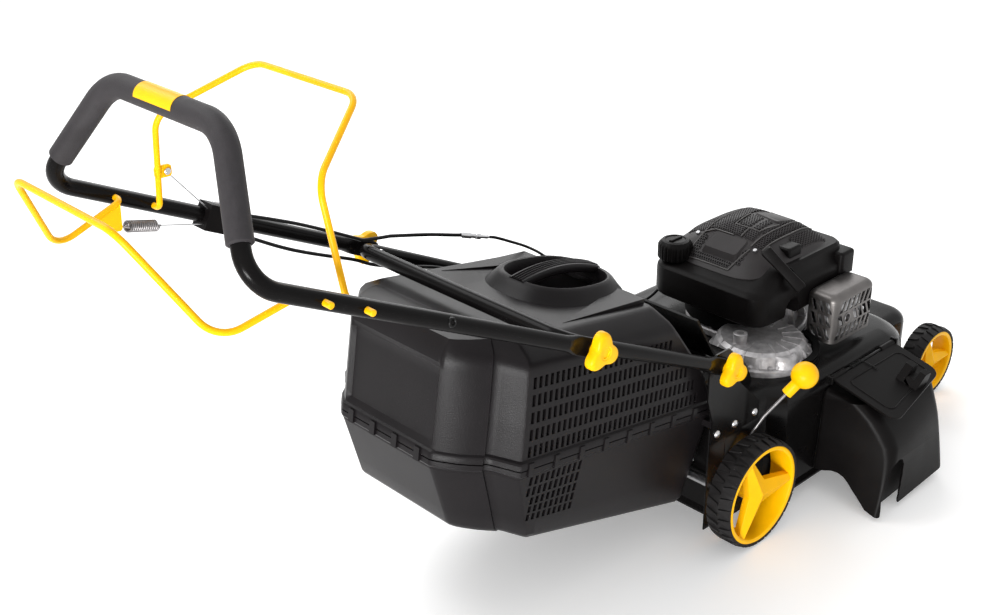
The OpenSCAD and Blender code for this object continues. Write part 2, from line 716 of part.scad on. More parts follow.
module muffler_guard() place() color(alloy) {
    x = muffler_x + guard_gap * [-1, 1];
    y = [muffler_y[0] - guard_gap - guard_t, muffler_y[1]];
    z = muffler_z + [-4, guard_gap];
    size = [x[1] - x[0], y[1] - y[0], z[1] - z[0]];
    difference() {
        translate([x[0], y[0], z[0]]) cube(size);
        translate([x[0] + guard_t, y[0] + guard_t, z[0] - 5]) cube(size + [-2 * guard_t, 0, 5 - guard_t]);
        for (i = [0:6]) for (k = [0:2]) translate([x[0] + 18 + 16 * i, y[0] - 5, z[0] + 16 + 26 * k])
            rotate([0, 25, 0]) translate([-3, 0, -8]) cube([6, 15, 18]);
        for (i = [0:2]) for (k = [0:2]) translate([x[0] - 5, y[0] + 14 + 15 * i, z[0] + 16 + 26 * k])
            rotate([-25, 0, 0]) translate([0, -3, -8]) cube([15, 6, 18]);
    }
}

module air_filter() place() color(black_plastic) loft([
    round_ring([296, 424], [filter_y, 186], 16, 258),
    round_ring([292, 428], [filter_y, 190], 16, 340),
    round_ring([302, 418], [filter_y, 180], 16, 372)
]);

module carburettor() place() color(alloy) {
    translate([engine_x + 20, case_r, engine_base + 28]) cube([36, filter_y - case_r, 32]);
    translate([engine_x + 38, case_r + 17, engine_base + 20]) cylinder(d = 26, h = 20);
}

module spark_plug() place() color(steel) translate([cylinder_end, 0, cylinder_z]) rotate([0, 90, 0]) {
    cylinder(d = 20, h = 8, $fn = 6);
    cylinder(d = 12, h = 26);
    translate([0, 0, 22]) cylinder(d = 20, h = 26);
}

module starter_grip() place() color(black_plastic) {
    half = 46 * unit(grip_axis);
    rod(grip_centre - half, grip_centre + half, 19);
    for (end = [-1, 1]) rod(grip_centre + end * half * 0.8, grip_centre + end * half * 1.1, 22);
    rod(grip_centre, rope_end, rope_d);
}

module crankshaft() place() color(steel) translate([engine_x, 0, 0]) difference() {
    union() {
        translate([0, 0, crank_low]) cylinder(d = crank_d, h = 274);
        translate([0, 0, pulley_z]) pulley(crank_pulley_r);
    }
    translate([0, 0, crank_low - 1]) cylinder(d = blade_bolt_d + 2 * run_gap, h = 42);
}

module pulley(r) rotate_extrude() polygon([
    [0, 0], [r, 0], [r, 2], [r - groove_depth, groove_z], [r - groove_depth, groove_z + groove_w], [r, 14],
    [r, pulley_h], [0, pulley_h]
]);

module flywheel() place() color(alloy) translate([engine_x, 0, case_top + 9]) difference() {
    union() {
        cylinder(r = 62, h = 14);
        for (k = [0:15]) rotate(22.5 * k) translate([34, -2, 10]) cube([26, 4, 22]);
    }
    translate([0, 0, -1]) cylinder(d = crank_d + 2 * run_gap, h = 40);
}

module blade_adapter() place() color(alloy) translate([engine_x, 0, blade_z + blade_t]) difference() {
    union() {
        cylinder(d = 78, h = 8);
        cylinder(d = 46, h = 34);
    }
    translate([0, 0, -1]) cylinder(d = blade_bolt_d + 2 * run_gap, h = 40);
    translate([0, 0, crank_low - blade_z - blade_t]) cylinder(d = crank_d + 2 * run_gap, h = 40);
}

module blade() place() color(steel) translate([engine_x, 0, blade_z]) difference() {
    union() {
        translate([-blade_len / 2, -blade_w / 2, 0]) cube([blade_len, blade_w, blade_t]);
        for (k = [0, 1]) rotate(180 * k) translate([blade_len / 2 - 90, blade_w / 2 - 2, 0.6])
            rotate([30, 0, 0]) cube([88, 24, blade_t - 0.8]);
    }
    translate([0, 0, -5]) cylinder(d = blade_bolt_d + 2 * run_gap, h = 20);
}

module blade_bolt() place() color(steel) translate([engine_x, 0, blade_z]) {
    translate([0, 0, -4]) cylinder(d = 36, h = 4);
    translate([0, 0, -12]) cylinder(d = 19, h = 9, $fn = 6);
    translate([0, 0, -4]) cylinder(d = blade_bolt_d, h = 52);
}

module drive_belt() place() color(rubber) translate([0, 0, pulley_z + groove_z + seat_gap])
    linear_extrude(groove_w - 2 * seat_gap) difference() {
        belt_outline(0);
        belt_outline(seat_gap - groove_depth);
    }

module belt_outline(grow) hull() {
    translate([engine_x, 0]) circle(r = crank_pulley_r + grow);
    translate(gear_shaft) circle(r = gear_pulley_r + grow);
}

module gearbox() place() color(alloy) difference() {
    neck_low = rear_axle_z + 25;
    union() {
        translate([-16, gearbox_y[0], rear_axle_z - 30]) cube([66, gearbox_y[1] - gearbox_y[0], 60]);
        translate([each gear_shaft, neck_low]) cylinder(d = 34, h = pulley_z - 10 - neck_low);
        translate([each gear_shaft, neck_low]) cylinder(d = spindle_d, h = pulley_z + pulley_h - neck_low);
    }
    translate([0, 0, rear_axle_z]) across(spindle_d + 2 * run_gap, 0, 300);
}

module gearbox_pulley() place() color(steel) translate([each gear_shaft, pulley_z]) difference() {
    pulley(gear_pulley_r);
    translate([0, 0, -1]) cylinder(d = spindle_d + 2 * run_gap, h = pulley_h + 2);
}

// Grass box
function box_ring(front, rear, half_w, z_front, z_rear) = [
    for (p = concat(
        [[front, 10 - half_w], [front, half_w - 10], [front - 10, half_w], [rear + rear_step[1], half_w]],
        [[rear + rear_step[0], half_w - 42], [rear, rear_flat], [rear, -rear_flat]],
        [[rear + rear_step[0], 42 - half_w], [rear + rear_step[1], -half_w], [front - 10, -half_w]]
    )) [p.x, p.y, z_front + (z_rear - z_front) * (p.x - front) / (rear - front)]
];

module box_at() translate(box_front) rotate([0, box_tilt, 0]) children();

module box_mouth() translate([-70, 30 - box_half_w, 40 - tray_h])
    cube([120, 2 * box_half_w - 60, tray_h + 20]);

// Side lugs of the tray, resting on the deck's rear ears
module box_lugs() {
    inside = box_half_w - 6;
    outside = neck_half_w - fold_gap;
    for (side = [-1, 1]) translate([ear_x + 4, min(side * inside, side * outside), deck_top + seat_gap])
        cube([24, outside - inside, 12]);
}

module box_tray() place() color(black_plastic) {
    box_lugs();
    tray_shell();
}

module tray_shell() box_at() difference() {
    tray_skin(0);
    tray_skin(box_wall);
    box_mouth();
}

// Outside of the tray, or its inside at a wall's depth
module tray_skin(wall) {
    lip = wall > 0 ? 10 : -seat_gap;
    rear = wall - box_len;
    loft([
        box_ring(-22 - wall, rear + 48, box_half_w - 14 - wall, wall - tray_h, wall - tray_h + 58),
        box_ring(-6 - wall, rear + 20, box_half_w - 6 - wall, -70, -60),
        box_ring(-wall, rear, box_half_w - wall, -16, -16),
        box_ring(-wall, rear, box_half_w - wall, lip, lip)
    ]);
}

module box_hood() place() color(black_plastic) box_at() difference() {
    union() {
        difference() {
            hood_skin(0);
            hood_skin(box_wall);
        }
        dome();
    }
    for (side = [-1, 1]) translate([dome_x - 70, side * (bar_half_w + 28) - 28, hood_h + 4])
        cube([140, 56, dome_h + 10]);
    translate([dome_x - 60, -bar_half_w - 20, hood_h + 4]) cube([120, 2 * bar_half_w + 40, dome_h - 18]);
    box_mouth();
}

// Outside of the hood, or its inside at a wall's depth
module hood_skin(wall) {
    low = wall > 0 ? -10 : 0;
    shoulder = hood_h - 24 - wall / 2;
    rear = wall - box_len;
    loft([
        box_ring(-wall, rear, box_half_w - wall, low, low),
        box_ring(-35 - wall, rear, box_half_w - 2 - wall, 68 - wall / 2, 68 - wall / 2),
        box_ring(-128 - wall, rear, box_half_w - 9 - wall, shoulder, shoulder),
        box_ring(-142 - wall, rear + 14, box_half_w - 52 - wall, hood_h - wall, hood_h - wall)
    ]);
}

module dome() loft([
    for (level = [[0, -2], [10, 14], [26, 30], [44, dome_h]])
        let (half = dome_r - [level[0], level[0]], x = [dome_x - half.x, dome_x + half.x])
            round_ring(x, [-half.y, half.y], 50 - level[0] / 2, hood_h + level[1])
]);

// Handle
// Flattened tube end, along the handle's slope between two places either side of a bolt
module flat_end_at(s, y, from, to) translate(lower_pivot + s * handle_dir + [0, y, 0])
    rotate([0, handle_angle, 0]) translate([-to, -flat_t / 2, -flat_h / 2]) cube([to - from, flat_t, flat_h]);

module lower_handle() place() color(black_paint) difference() {
    corner = lower_leg(crossbar_s, -1);
    bends = loop_radii([0, crossbar_bend]);
    union() {
        bent_rod(loop_points([lower_leg(flat_len - 8, -1), corner]), bends, tube_d, tube_sides);
        for (side = [-1, 1]) flat_end_at(0, side * lower_half_w, -flat_end, flat_len);
    }
    bent_rod(loop_points([lower_leg(flat_len + 10, -1), corner]), bends, tube_d - 2 * tube_wall, tube_sides);
    translate(lower_pivot) across(bolt_d + 2 * run_gap, -300, 300);
    translate(upper_pivot) across(bolt_d + 2 * run_gap, -300, 300);
}

module upper_handle() place() color(black_paint) difference() {
    loop = [bend_point - [0, bend_half_w, 0], grip_corner - [0, grip_half_w, 0]];
    bends = loop_radii([0, loop_bend, grip_bend]);
    bore_d = tube_d - 2 * tube_wall;
    union() {
        bent_rod(loop_points(concat([upper_leg(flat_len - 8, -1)], loop)), bends, tube_d, tube_sides);
        for (side = [-1, 1]) flat_end_at(lower_reach, side * upper_flat_y, -flat_end, flat_len);
    }
    bent_rod(loop_points(concat([upper_leg(flat_len + 10, -1)], loop)), bends, bore_d, tube_sides);
    translate(upper_pivot) across(bolt_d + 2 * run_gap, -300, 300);
    translate(brake_pivot) across(bail_d + 2 * run_gap, -300, 300);
    translate(drive_pivot) across(bail_d + 2 * run_gap, -300, 300);
    translate(upper_pivot + rope_hole_s * handle_dir) across(2 * rope_hole_r, -300, 0);
}

module handle_grip() place() color(foam_grey) difference() {
    corner = bend_point - [0, bend_half_w, 0];
    top = grip_corner - [0, grip_half_w, 0];
    rise = unit(top - corner);
    bends = loop_radii([0, grip_bend]);
    bore_d = tube_d / cos(180 / tube_sides) + 2 * run_gap;
    bent_rod(loop_points([corner + foam_start * rise, top]), bends, foam_d, tube_sides);
    bent_rod(loop_points([corner + (foam_start - 1) * rise, top]), bends, bore_d, tube_sides);
}

// Wire bail: round tips through the handle's legs, then one bent wire
module bail(pivot, s, knee, bar) {
    y = upper_leg_y(s);
    tip_end = y - tube_d / 2 - 4;
    half = [pivot - [0, tip_end + 2, 0], pivot - [0, y - bail_inset, 0], flip_y(knee), flip_y(bar)];
    bent_rod(loop_points(half), loop_radii([0, 14, 22, 25]), bail_d - 0.2, wire_sides);
    for (side = [-1, 1]) translate(pivot) across(bail_d, side * tip_end, side * (y + tube_d / 2 + bail_tip));
}

module brake_bail() place() color(yellow) {
    bail(brake_pivot, brake_pivot_s, brake_knee, brake_bar);
    translate(brake_tab) rotate([0, -3, 0]) translate([-7, -2, -9]) cube([24, 4, 18]);
}
brake_tab = brake_pivot + [0, upper_leg_y(brake_pivot_s) - bail_inset - 12, 58];

module drive_bail() place() color(yellow) {
    bail(drive_pivot, drive_pivot_s, drive_knee, drive_bar);
    translate(drive_pivot + [0, drive_arm_y + 1.5, 0]) rotate([90, 0, 0]) linear_extrude(3)
        polygon([[-6, -2], [-44, -12], [-20, -38], [-8, -40]]);
}
drive_arm_y = upper_leg_y(drive_pivot_s) - bail_inset - 3;

// Control cables
clamp_centre = upper_leg(clamp_s, 1);
brake_wire_end = clamp_centre + (clamp_len / 2 + seat_gap) * handle_dir + 12 * handle_up - [0, 13, 0];
drive_wire_end = clamp_centre + (clamp_len / 2 + 3 * seat_gap) * handle_dir - 12 * handle_up - [0, 13, 0];
brake_wire_start = brake_tab + [18, 0, -2];
spring_hook = drive_pivot + [-7, drive_arm_y, -36];
spring_len = 52;
spring_end = spring_len + 17.5;
spring_d = 12;
spring_wire = 2;
spring_turns = 14;
wire_d = 2;
wire_dir = unit(drive_wire_end - spring_hook);

module cable_clamp() place() color(black_plastic) difference() {
    translate(clamp_centre) rotate([0, handle_angle, 0])
        translate([-clamp_len / 2, -clamp_w / 2 - 6, -clamp_h / 2]) cube([clamp_len, clamp_w, clamp_h]);
    rod(upper_leg(clamp_s - 40, 1), upper_leg(clamp_s + 40, 1), tube_d + 2 * run_gap);
}

module handle_cables() place() color(rubber) for (rise = [drive_rise, brake_rise])
    rod(clamp_centre - (clamp_len / 2 + seat_gap) * handle_dir + sign(rise) * 12 * handle_up - [0, 17, 0],
        split_point(cable_split_s, cable_split_y, rise), sheath_d);

module brake_wire() place() color(steel) rod(brake_wire_start, brake_wire_end, wire_d);

module drive_wire() place() color(steel)
    rod(spring_hook + (spring_end + seat_gap) * wire_dir, drive_wire_end, wire_d);

// Open coil spring with straight ends on its axis
module drive_spring() place() color(steel) sweep(spring_path, spring_wire, 6);
spring_side = unit(cross(wire_dir, [0, 0, 1]));
spring_up = cross(spring_side, wire_dir);
spring_r = spring_d / 2 - spring_wire / 2;
function spring_point(way, r, angle) = spring_hook + way * wire_dir
    + r * (cos(angle) * spring_side + sin(angle) * spring_up);
spring_path = concat(
    [spring_point(0.5, 0, 0), spring_point(3, 0, 0), spring_point(6, spring_r * 0.7, -40)],
    [for (k = [0:8 * spring_turns]) spring_point(9 + spring_len * k / (8 * spring_turns), spring_r, 45 * k)],
    [spring_point(spring_len + 12, spring_r * 0.7, 40)],
    [spring_point(spring_len + 15, 0, 0), spring_point(spring_end, 0, 0)]
);
spring_last = len(spring_path) - 1;
echo(spring_gap = min([
    for (i = [0:spring_last - 5]) for (k = [i + 5:spring_last]) norm(spring_path[i] - spring_path[k])
]) - spring_wire);

module lower_cables() place() color(rubber) for (p = [drive_route, gear_route, brake_route])
    sweep(route(p, 3), sheath_d, 8);

module cable_adjuster() place() color(steel) {
    a = drive_route[len(drive_route) - 1];
    b = gear_route[0];
    rod(a + seat_gap * unit(b - a), b - seat_gap * unit(b - a), adjuster_d);
}

// Knobs and bolts
module knob(side) rotate([-90 * side, 0, 0]) difference() {
    union() {
        translate([0, 0, 6]) linear_extrude(knob_h - 6) {
            circle(d = knob_d * 0.62);
            for (k = [0:2]) rotate(120 * k + 90) translate([knob_d * 0.28, 0]) circle(d = knob_d * 0.44);
        }
        cylinder(d = knob_d * 0.45, h = knob_h);
    }
    translate([0, 0, -1]) cylinder(d = bolt_d + 2 * run_gap, h = knob_h + 2);
}

module knob_at(pivot, y, side) translate(pivot + [0, side * y, 0]) knob(side);
module knob_lower_left() place() color(yellow) knob_at(lower_pivot, lower_knob_y, 1);
module knob_lower_right() place() color(yellow) knob_at(lower_pivot, lower_knob_y, -1);
module knob_upper_left() place() color(yellow) knob_at(upper_pivot, upper_knob_y, 1);
module knob_upper_right() place() color(yellow) knob_at(upper_pivot, upper_knob_y, -1);

module carriage_bolt(y0, y1, side) {
    across(bolt_d, side * y0, side * y1);
    across(bolt_d * 2, side * y0, side * (y0 - 4));
}

module handle_bolts() place() color(steel) translate(upper_pivot) for (side = [-1, 1])
    carriage_bolt(knob_leg_y - tube_d / 2 - fold_gap, upper_knob_y + knob_h - 3, side);

module pivot_bolts() place() color(steel) translate(lower_pivot) for (side = [-1, 1])
    carriage_bolt(neck_half_w - seat_gap, lower_knob_y + knob_h - 3, side);

deck_shell();
handle_bracket_left();
handle_bracket_right();
deck_fasteners();
flap_pins();
pivot_bolts();
engine_block();
blower_shroud();
top_cover();
fuel_tank();
fuel_cap();
muffler();
muffler_guard();
air_filter();
carburettor();
spark_plug();
starter_grip();
crankshaft();
flywheel();
blade_adapter();
blade();
blade_bolt();
drive_belt();
gearbox();
gearbox_pulley();
rear_axle();
front_axle();
link_rod();
height_lever();
lever_ball();
tyre_rear_left();
tyre_rear_right();
tyre_front_left();
tyre_front_right();
rim_rear_left();
rim_rear_right();
rim_front_left();
rim_front_right();
rear_flap();
side_flap();
side_chute();
box_tray();
box_hood();
lower_handle();
handle_bolts();
upper_handle();
handle_grip();
brake_bail();
drive_bail();
cable_clamp();
handle_cables();
brake_wire();
drive_wire();
drive_spring();
lower_cables();
cable_adjuster();
knob_lower_left();
knob_lower_right();
knob_upper_left();
knob_upper_right();
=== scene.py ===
import json
from math import copysign, cos, pi, radians, sin, sqrt, tan

import bmesh
import bpy
from mathutils import Matrix, Vector
from mathutils.geometry import tessellate_polygon


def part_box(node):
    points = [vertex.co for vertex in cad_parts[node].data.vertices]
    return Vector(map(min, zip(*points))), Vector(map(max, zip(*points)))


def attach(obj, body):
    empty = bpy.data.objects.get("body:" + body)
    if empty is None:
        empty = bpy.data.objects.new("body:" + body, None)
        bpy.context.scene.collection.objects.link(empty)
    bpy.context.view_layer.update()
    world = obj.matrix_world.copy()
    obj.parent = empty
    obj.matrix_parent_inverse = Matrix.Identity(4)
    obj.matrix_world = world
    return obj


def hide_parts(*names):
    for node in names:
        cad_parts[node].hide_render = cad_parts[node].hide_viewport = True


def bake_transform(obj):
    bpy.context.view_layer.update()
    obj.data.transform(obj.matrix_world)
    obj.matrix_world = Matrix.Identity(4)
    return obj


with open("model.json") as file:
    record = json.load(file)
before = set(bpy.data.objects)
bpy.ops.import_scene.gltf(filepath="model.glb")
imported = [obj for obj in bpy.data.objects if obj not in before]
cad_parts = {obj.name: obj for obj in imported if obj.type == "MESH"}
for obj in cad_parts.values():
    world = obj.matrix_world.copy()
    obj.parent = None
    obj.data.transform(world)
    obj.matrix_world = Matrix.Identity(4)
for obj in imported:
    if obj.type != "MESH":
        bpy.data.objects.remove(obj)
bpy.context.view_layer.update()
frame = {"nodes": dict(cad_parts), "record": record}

# Machine axes in millimetres: x forward from the rear axle, y to the left, z up from the ground
MM = 0.001


def xyz(x, y, z):
    return Vector((x, y, z))


LEFT = xyz(0, 1, 0)
UP = xyz(0, 0, 1)


def middle(node):
    low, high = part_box(node)
    return (low + high) / 2


wheel_left = middle("tyre_rear_left")
wheel_right = middle("tyre_rear_right")
ORIGIN = xyz(wheel_left.x, (wheel_left.y + wheel_right.y) / 2, 0)


def place(point):
    return ORIGIN + Vector(point) * MM


# Materials: name, slot, colour, roughness, metal, specular level, grain and cloud (size and strength)
PLAIN = {}
CLOUD_DETAIL = 4
GRAIN_DETAIL = 3
ROUGH_SPREAD = 0.2
PLASTIC = "black_plastic"


def set_inputs(node, values):
    for socket, value in values.items():
        node.inputs[socket].default_value = value


def add_node(tree, kind, values):
    node = tree.nodes.new("ShaderNode" + kind)
    set_inputs(node, values)
    return node


def noise(tree, size, detail):
    coordinates = tree.nodes.new("ShaderNodeTexCoord")
    texture = add_node(tree, "TexNoise", {"Scale": 1 / (size * MM), "Detail": detail})
    tree.links.new(coordinates.outputs["Object"], texture.inputs["Vector"])
    return texture.outputs["Fac"]


def finish(name, slot, colour, rough, metal, specular, grain, cloud=(40, 0.12)):
    material = bpy.data.materials.new(name)
    PLAIN.setdefault(slot, material)
    material.use_nodes = True
    tree = material.node_tree
    links = tree.links
    shader = tree.nodes["Principled BSDF"]
    set_inputs(shader, {"Metallic": metal, "Specular IOR Level": specular})
    clouds = noise(tree, cloud[0], CLOUD_DETAIL)
    tones = tree.nodes.new("ShaderNodeValToRGB")
    dark, pale = tones.color_ramp.elements
    dark.position = 0.3
    pale.position = 0.7
    dark.color = [c * (1 - cloud[1]) for c in colour] + [1]
    pale.color = [min(1, c * (1 + cloud[1])) for c in colour] + [1]
    links.new(clouds, tones.inputs["Fac"])
    links.new(tones.outputs["Color"], shader.inputs["Base Color"])
    spread = rough * ROUGH_SPREAD
    gloss = add_node(tree, "MapRange", {"To Min": rough - spread, "To Max": rough + spread})
    links.new(clouds, gloss.inputs["Value"])
    links.new(gloss.outputs["Result"], shader.inputs["Roughness"])
    bump = add_node(tree, "Bump", {"Strength": grain[1], "Distance": grain[0] * MM / 2})
    links.new(noise(tree, grain[0], GRAIN_DETAIL), bump.inputs["Height"])
    links.new(bump.outputs["Normal"], shader.inputs["Normal"])
    return material


DECK_PAINT = finish("deck_paint", "black_paint", (0.004, 0.0036, 0.0036), 0.26, 0, 0.13, (4, 0.008))
BLACK_PAINT = finish("black_paint", "black_paint", (0.004, 0.0036, 0.0036), 0.22, 0, 0.07, (3, 0.04))
SMOOTH_PLASTIC = finish("smooth_plastic", PLASTIC, (0.0045, 0.0039, 0.0039), 0.40, 0, 0.075, (1.5, 0.15))
BOX_PLASTIC = finish("box_plastic", PLASTIC, (0.008, 0.0068, 0.0074), 0.34, 0, 0.12, (1.5, 0.4), (90, 0.15))
COVER_PLASTIC = finish("cover_plastic", PLASTIC, (0.021, 0.0185, 0.019), 0.42, 0, 0.2, (1.5, 0.12))
PALE_PLASTIC = finish("pale_plastic", PLASTIC, (0.05, 0.046, 0.045), 0.42, 0, 0.4, (1.5, 0.1))
# Near-black plastic for real parts, also used as painted shade behind the box vents and on the honeycomb cell
# floors
DARK_PLASTIC_AND_SHADE = finish("dark_plastic_and_shade", PLASTIC, (0.003, 0.003, 0.003), 0.6, 0, 0.08, (1.2, 0.15))
FOAM = finish("foam", "foam", (0.026, 0.0235, 0.0255), 0.62, 0, 0.25, (1.6, 0.5), (8, 0.15))
YELLOW = (0.90, 0.47, 0.001)
DEEP_YELLOW = (0.88, 0.44, 0.001)
YELLOW_PLASTIC = finish("yellow_plastic", "yellow_plastic", YELLOW, 0.36, 0, 0.14, (2, 0.04), (30, 0.05))
YELLOW_PAINT = finish("yellow_paint", "yellow_paint", DEEP_YELLOW, 0.34, 0, 0.16, (2, 0.06), (30, 0.05))
STEEL = finish("zinc_steel", "steel", (0.60, 0.60, 0.61), 0.32, 1, 0.5, (1.5, 0.08), (10, 0.1))
DULL_STEEL = finish("dull_steel", "steel", (0.22, 0.21, 0.21), 0.45, 1, 0.5, (2, 0.12), (15, 0.2))
BLACK_STEEL = finish("black_steel", "steel", (0.02, 0.02, 0.02), 0.42, 1, 0.5, (2, 0.08))
CASTING = finish("cast_alloy", "alloy", (0.37, 0.36, 0.365), 0.40, 0.6, 0.5, (3, 0.5), (12, 0.25))
GUARD_STEEL = finish("guard_steel", "alloy", (0.14, 0.132, 0.128), 0.42, 1, 0.5, (2, 0.1), (20, 0.12))
RUBBER = finish("rubber", "tyre", (0.010, 0.009, 0.009), 0.6, 0, 0.2, (1.4, 0.25), (20, 0.25))
SHEATH = finish("cable_sheath", "cable", (0.005, 0.005, 0.005), 0.35, 0, 0.15, (2, 0.08))


# Mesh helpers: a shape is a list of corners in millimetres and a list of faces
OPEN = (False, False)
TOPPED = (False, True)
SQUARE = [(-1, -1), (1, -1), (1, 1), (-1, 1)]
SIDES = (("left", 1), ("right", -1))


def join(*shapes):
    corners = []
    faces = []
    for shape_corners, shape_faces in shapes:
        start = len(corners)
        corners.extend(shape_corners)
        faces.extend(tuple(start + i for i in face) for face in shape_faces)
    return corners, faces


def loft(rings, caps=(True, True), loop=False, closed=True, skip=None):
    count = len(rings[0])
    corners = [corner for ring in rings for corner in ring]
    faces = []
    for i in range(len(rings) if loop else len(rings) - 1):
        here = i * count
        there = (i + 1) % len(rings) * count
        for k in range(count if closed else count - 1):
            if skip and skip(i, k):
                continue
            ahead = (k + 1) % count
            faces.append((here + k, here + ahead, there + ahead, there + k))
    if caps[0] and not loop:
        faces.append(tuple(reversed(range(count))))
    if caps[1] and not loop:
        faces.append(tuple(range((len(rings) - 1) * count, len(rings) * count)))
    return corners, faces


def turns(count):
    return [2 * pi * k / count for k in range(count)]


def bulge(value, power):
    return copysign(abs(value) ** power, value)


def points(rows):
    return [Vector(row) for row in rows]


def mirrored(half):
    return half + [xyz(p.x, -p.y, p.z) for p in reversed(half)]


def fillet(corners, radius, steps, closed=False):
    corners = points(corners)
    count = len(corners)
    path = []
    for i, corner in enumerate(corners):
        if not closed and i in (0, count - 1):
            path.append(corner)
            continue
        back = (corners[i - 1] - corner).normalized()
        ahead = (corners[(i + 1) % count] - corner).normalized()
        bend = radius[i] if isinstance(radius, list) else radius
        half = back.angle(ahead) / 2
        centre = corner + (back + ahead).normalized() * bend / sin(half)
        start = (corner + back * bend / tan(half) - centre).normalized()
        end = (corner + ahead * bend / tan(half) - centre).normalized()
        path.extend(centre + bend * start.slerp(end, k / steps) for k in range(steps + 1))
    return path


def rounded(corners, radius, steps):
    return fillet(corners, radius, steps, closed=True)


def curve(stations, steps):
    stations = points(stations)
    last = len(stations) - 1
    path = []
    for i in range(last):
        a = stations[max(i - 1, 0)]
        b = stations[i]
        c = stations[i + 1]
        d = stations[min(i + 2, last)]
        for k in range(steps):
            t = k / steps
            cubic = 3 * b - a - 3 * c + d
            square = 2 * a - 5 * b + 4 * c - d
            path.append(b + 0.5 * t * ((c - a) + t * (square + t * cubic)))
    path.append(stations[last])
    return path


def tube(path, radius, sides):
    path = points(path)
    last = len(path) - 1
    side = None
    rings = []
    for i, point in enumerate(path):
        ahead = (path[min(i + 1, last)] - path[max(i - 1, 0)]).normalized()
        side = ahead.orthogonal() if side is None else side - ahead * side.dot(ahead)
        side.normalize()
        up = ahead.cross(side)
        size = radius[i] if isinstance(radius, list) else radius
        rings.append([point + size * (cos(t) * side + sin(t) * up) for t in turns(sides)])
    return loft(rings)


def tapered_tube(path, radius, end_radius, sides):
    return tube(path, [end_radius] + [radius] * (len(path) - 2) + [end_radius], sides)


def lathe(profile, centre, axis, sides, loop=False):
    axis = Vector(axis).normalized()
    side = axis.orthogonal().normalized()
    up = axis.cross(side)
    centre = Vector(centre)
    spokes = [cos(t) * side + sin(t) * up for t in turns(sides)]
    return loft([[centre + h * axis + r * spoke for spoke in spokes] for r, h in profile], loop=loop)


def rod(a, b, radius, sides=20, edge=0.0):
    a = Vector(a)
    span = Vector(b) - a
    far = span.length
    profile = [(radius - edge, 0), (radius, edge), (radius, far - edge), (radius - edge, far)]
    return lathe(profile, a, span, sides)


def slab(outline, offset):
    outline = points(outline)
    return loft([outline, [p + Vector(offset) for p in outline]])


def block(low, high):
    (x0, y0, z0), (x1, y1, z1) = low, high
    return slab([(x0, y0, z0), (x1, y0, z0), (x1, y1, z0), (x0, y1, z0)], (0, 0, z1 - z0))


def round_ring(x, y, radius, z, steps=6):
    return rounded([(x[1], y[1], z), (x[0], y[1], z), (x[0], y[0], z), (x[1], y[0], z)], radius, steps)


def inset_ring(x, y, inset, radius, z, steps=6):
    return round_ring((x[0] + inset, x[1] - inset), (y[0] + inset, y[1] - inset), radius, z, steps)


def soft_block(x, y, z, corner, edge):
    rings = [round_ring(x, y, corner, z[0])]
    for step in range(6):
        turn = step / 5 * pi / 2
        inset = edge * (1 - cos(turn))
        height = z[1] - edge * (1 - sin(turn))
        rings.append(inset_ring(x, y, inset, max(corner - inset / 2, 1), height))
    return loft(rings)


MERGE_DISTANCE = 1e-5
SLIVER = 1e-6


def sharpen(mesh, angle):
    shell = bmesh.new()
    shell.from_mesh(mesh)
    bmesh.ops.remove_doubles(shell, verts=shell.verts, dist=MERGE_DISTANCE)
    bmesh.ops.dissolve_degenerate(shell, edges=shell.edges, dist=SLIVER)
    bmesh.ops.recalc_face_normals(shell, faces=shell.faces)
    for face in shell.faces:
        face.smooth = True
    for edge in shell.edges:
        edge.smooth = len(edge.link_faces) == 2 and edge.calc_face_angle(0) < radians(angle)
    shell.to_mesh(mesh)
    shell.free()


def bake(obj, angle):
    depsgraph = bpy.context.evaluated_depsgraph_get()
    mesh = bpy.data.meshes.new_from_object(obj.evaluated_get(depsgraph))
    obj.modifiers.clear()
    obj.data = mesh
    sharpen(mesh, angle)


def link(name, data):
    obj = bpy.data.objects.new(name, data)
    bpy.context.scene.collection.objects.link(obj)
    return obj


def raw(name, shape):
    corners, faces = shape
    mesh = bpy.data.meshes.new(name)
    mesh.from_pydata([place(corner) for corner in corners], [], faces)
    return link(name, mesh)


def soften(obj, width, angle):
    edge = obj.modifiers.new("Edge", "BEVEL")
    edge.width = width * MM
    edge.segments = 2
    edge.limit_method = "ANGLE"
    edge.angle_limit = radians(angle)
    edge.harden_normals = True


def piece(name, shape, material, body="chassis", nodes=(), wall=0.0, cuts=None, bevel=0.0, angle=35):
    obj = raw(name, shape)
    obj.data.materials.append(material)
    sharpen(obj.data, angle)
    if wall:
        thick = obj.modifiers.new("Wall", "SOLIDIFY")
        thick.thickness = wall * MM
        thick.offset = -1
    if cuts:
        cutter = raw(name + "_cut", cuts)
        sharpen(cutter.data, angle)
        cut = obj.modifiers.new("Cut", "BOOLEAN")
        cut.object = cutter
        cut.solver = "EXACT"
    if wall or cuts:
        bake(obj, angle)
    if cuts:
        bpy.data.objects.remove(cutter)
    if bevel:
        soften(obj, bevel, angle)
    if body:
        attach(obj, body)
    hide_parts(*nodes)
    return obj


def bending(name, shape, material, nodes=()):
    obj = piece(name, shape, material, None, nodes)
    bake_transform(obj)


# Wheels
TREAD_DEPTH = 3.4
TYRE_DEPTH = 8
LUG_OUTLINE = [(-0.40, 1), (0.40, 1), (0.30, 0.62), (0.10, 0.06), (-0.10, 0.06), (-0.30, 0.62)]
STAR_TURN = 117
STAR_THICK = 13


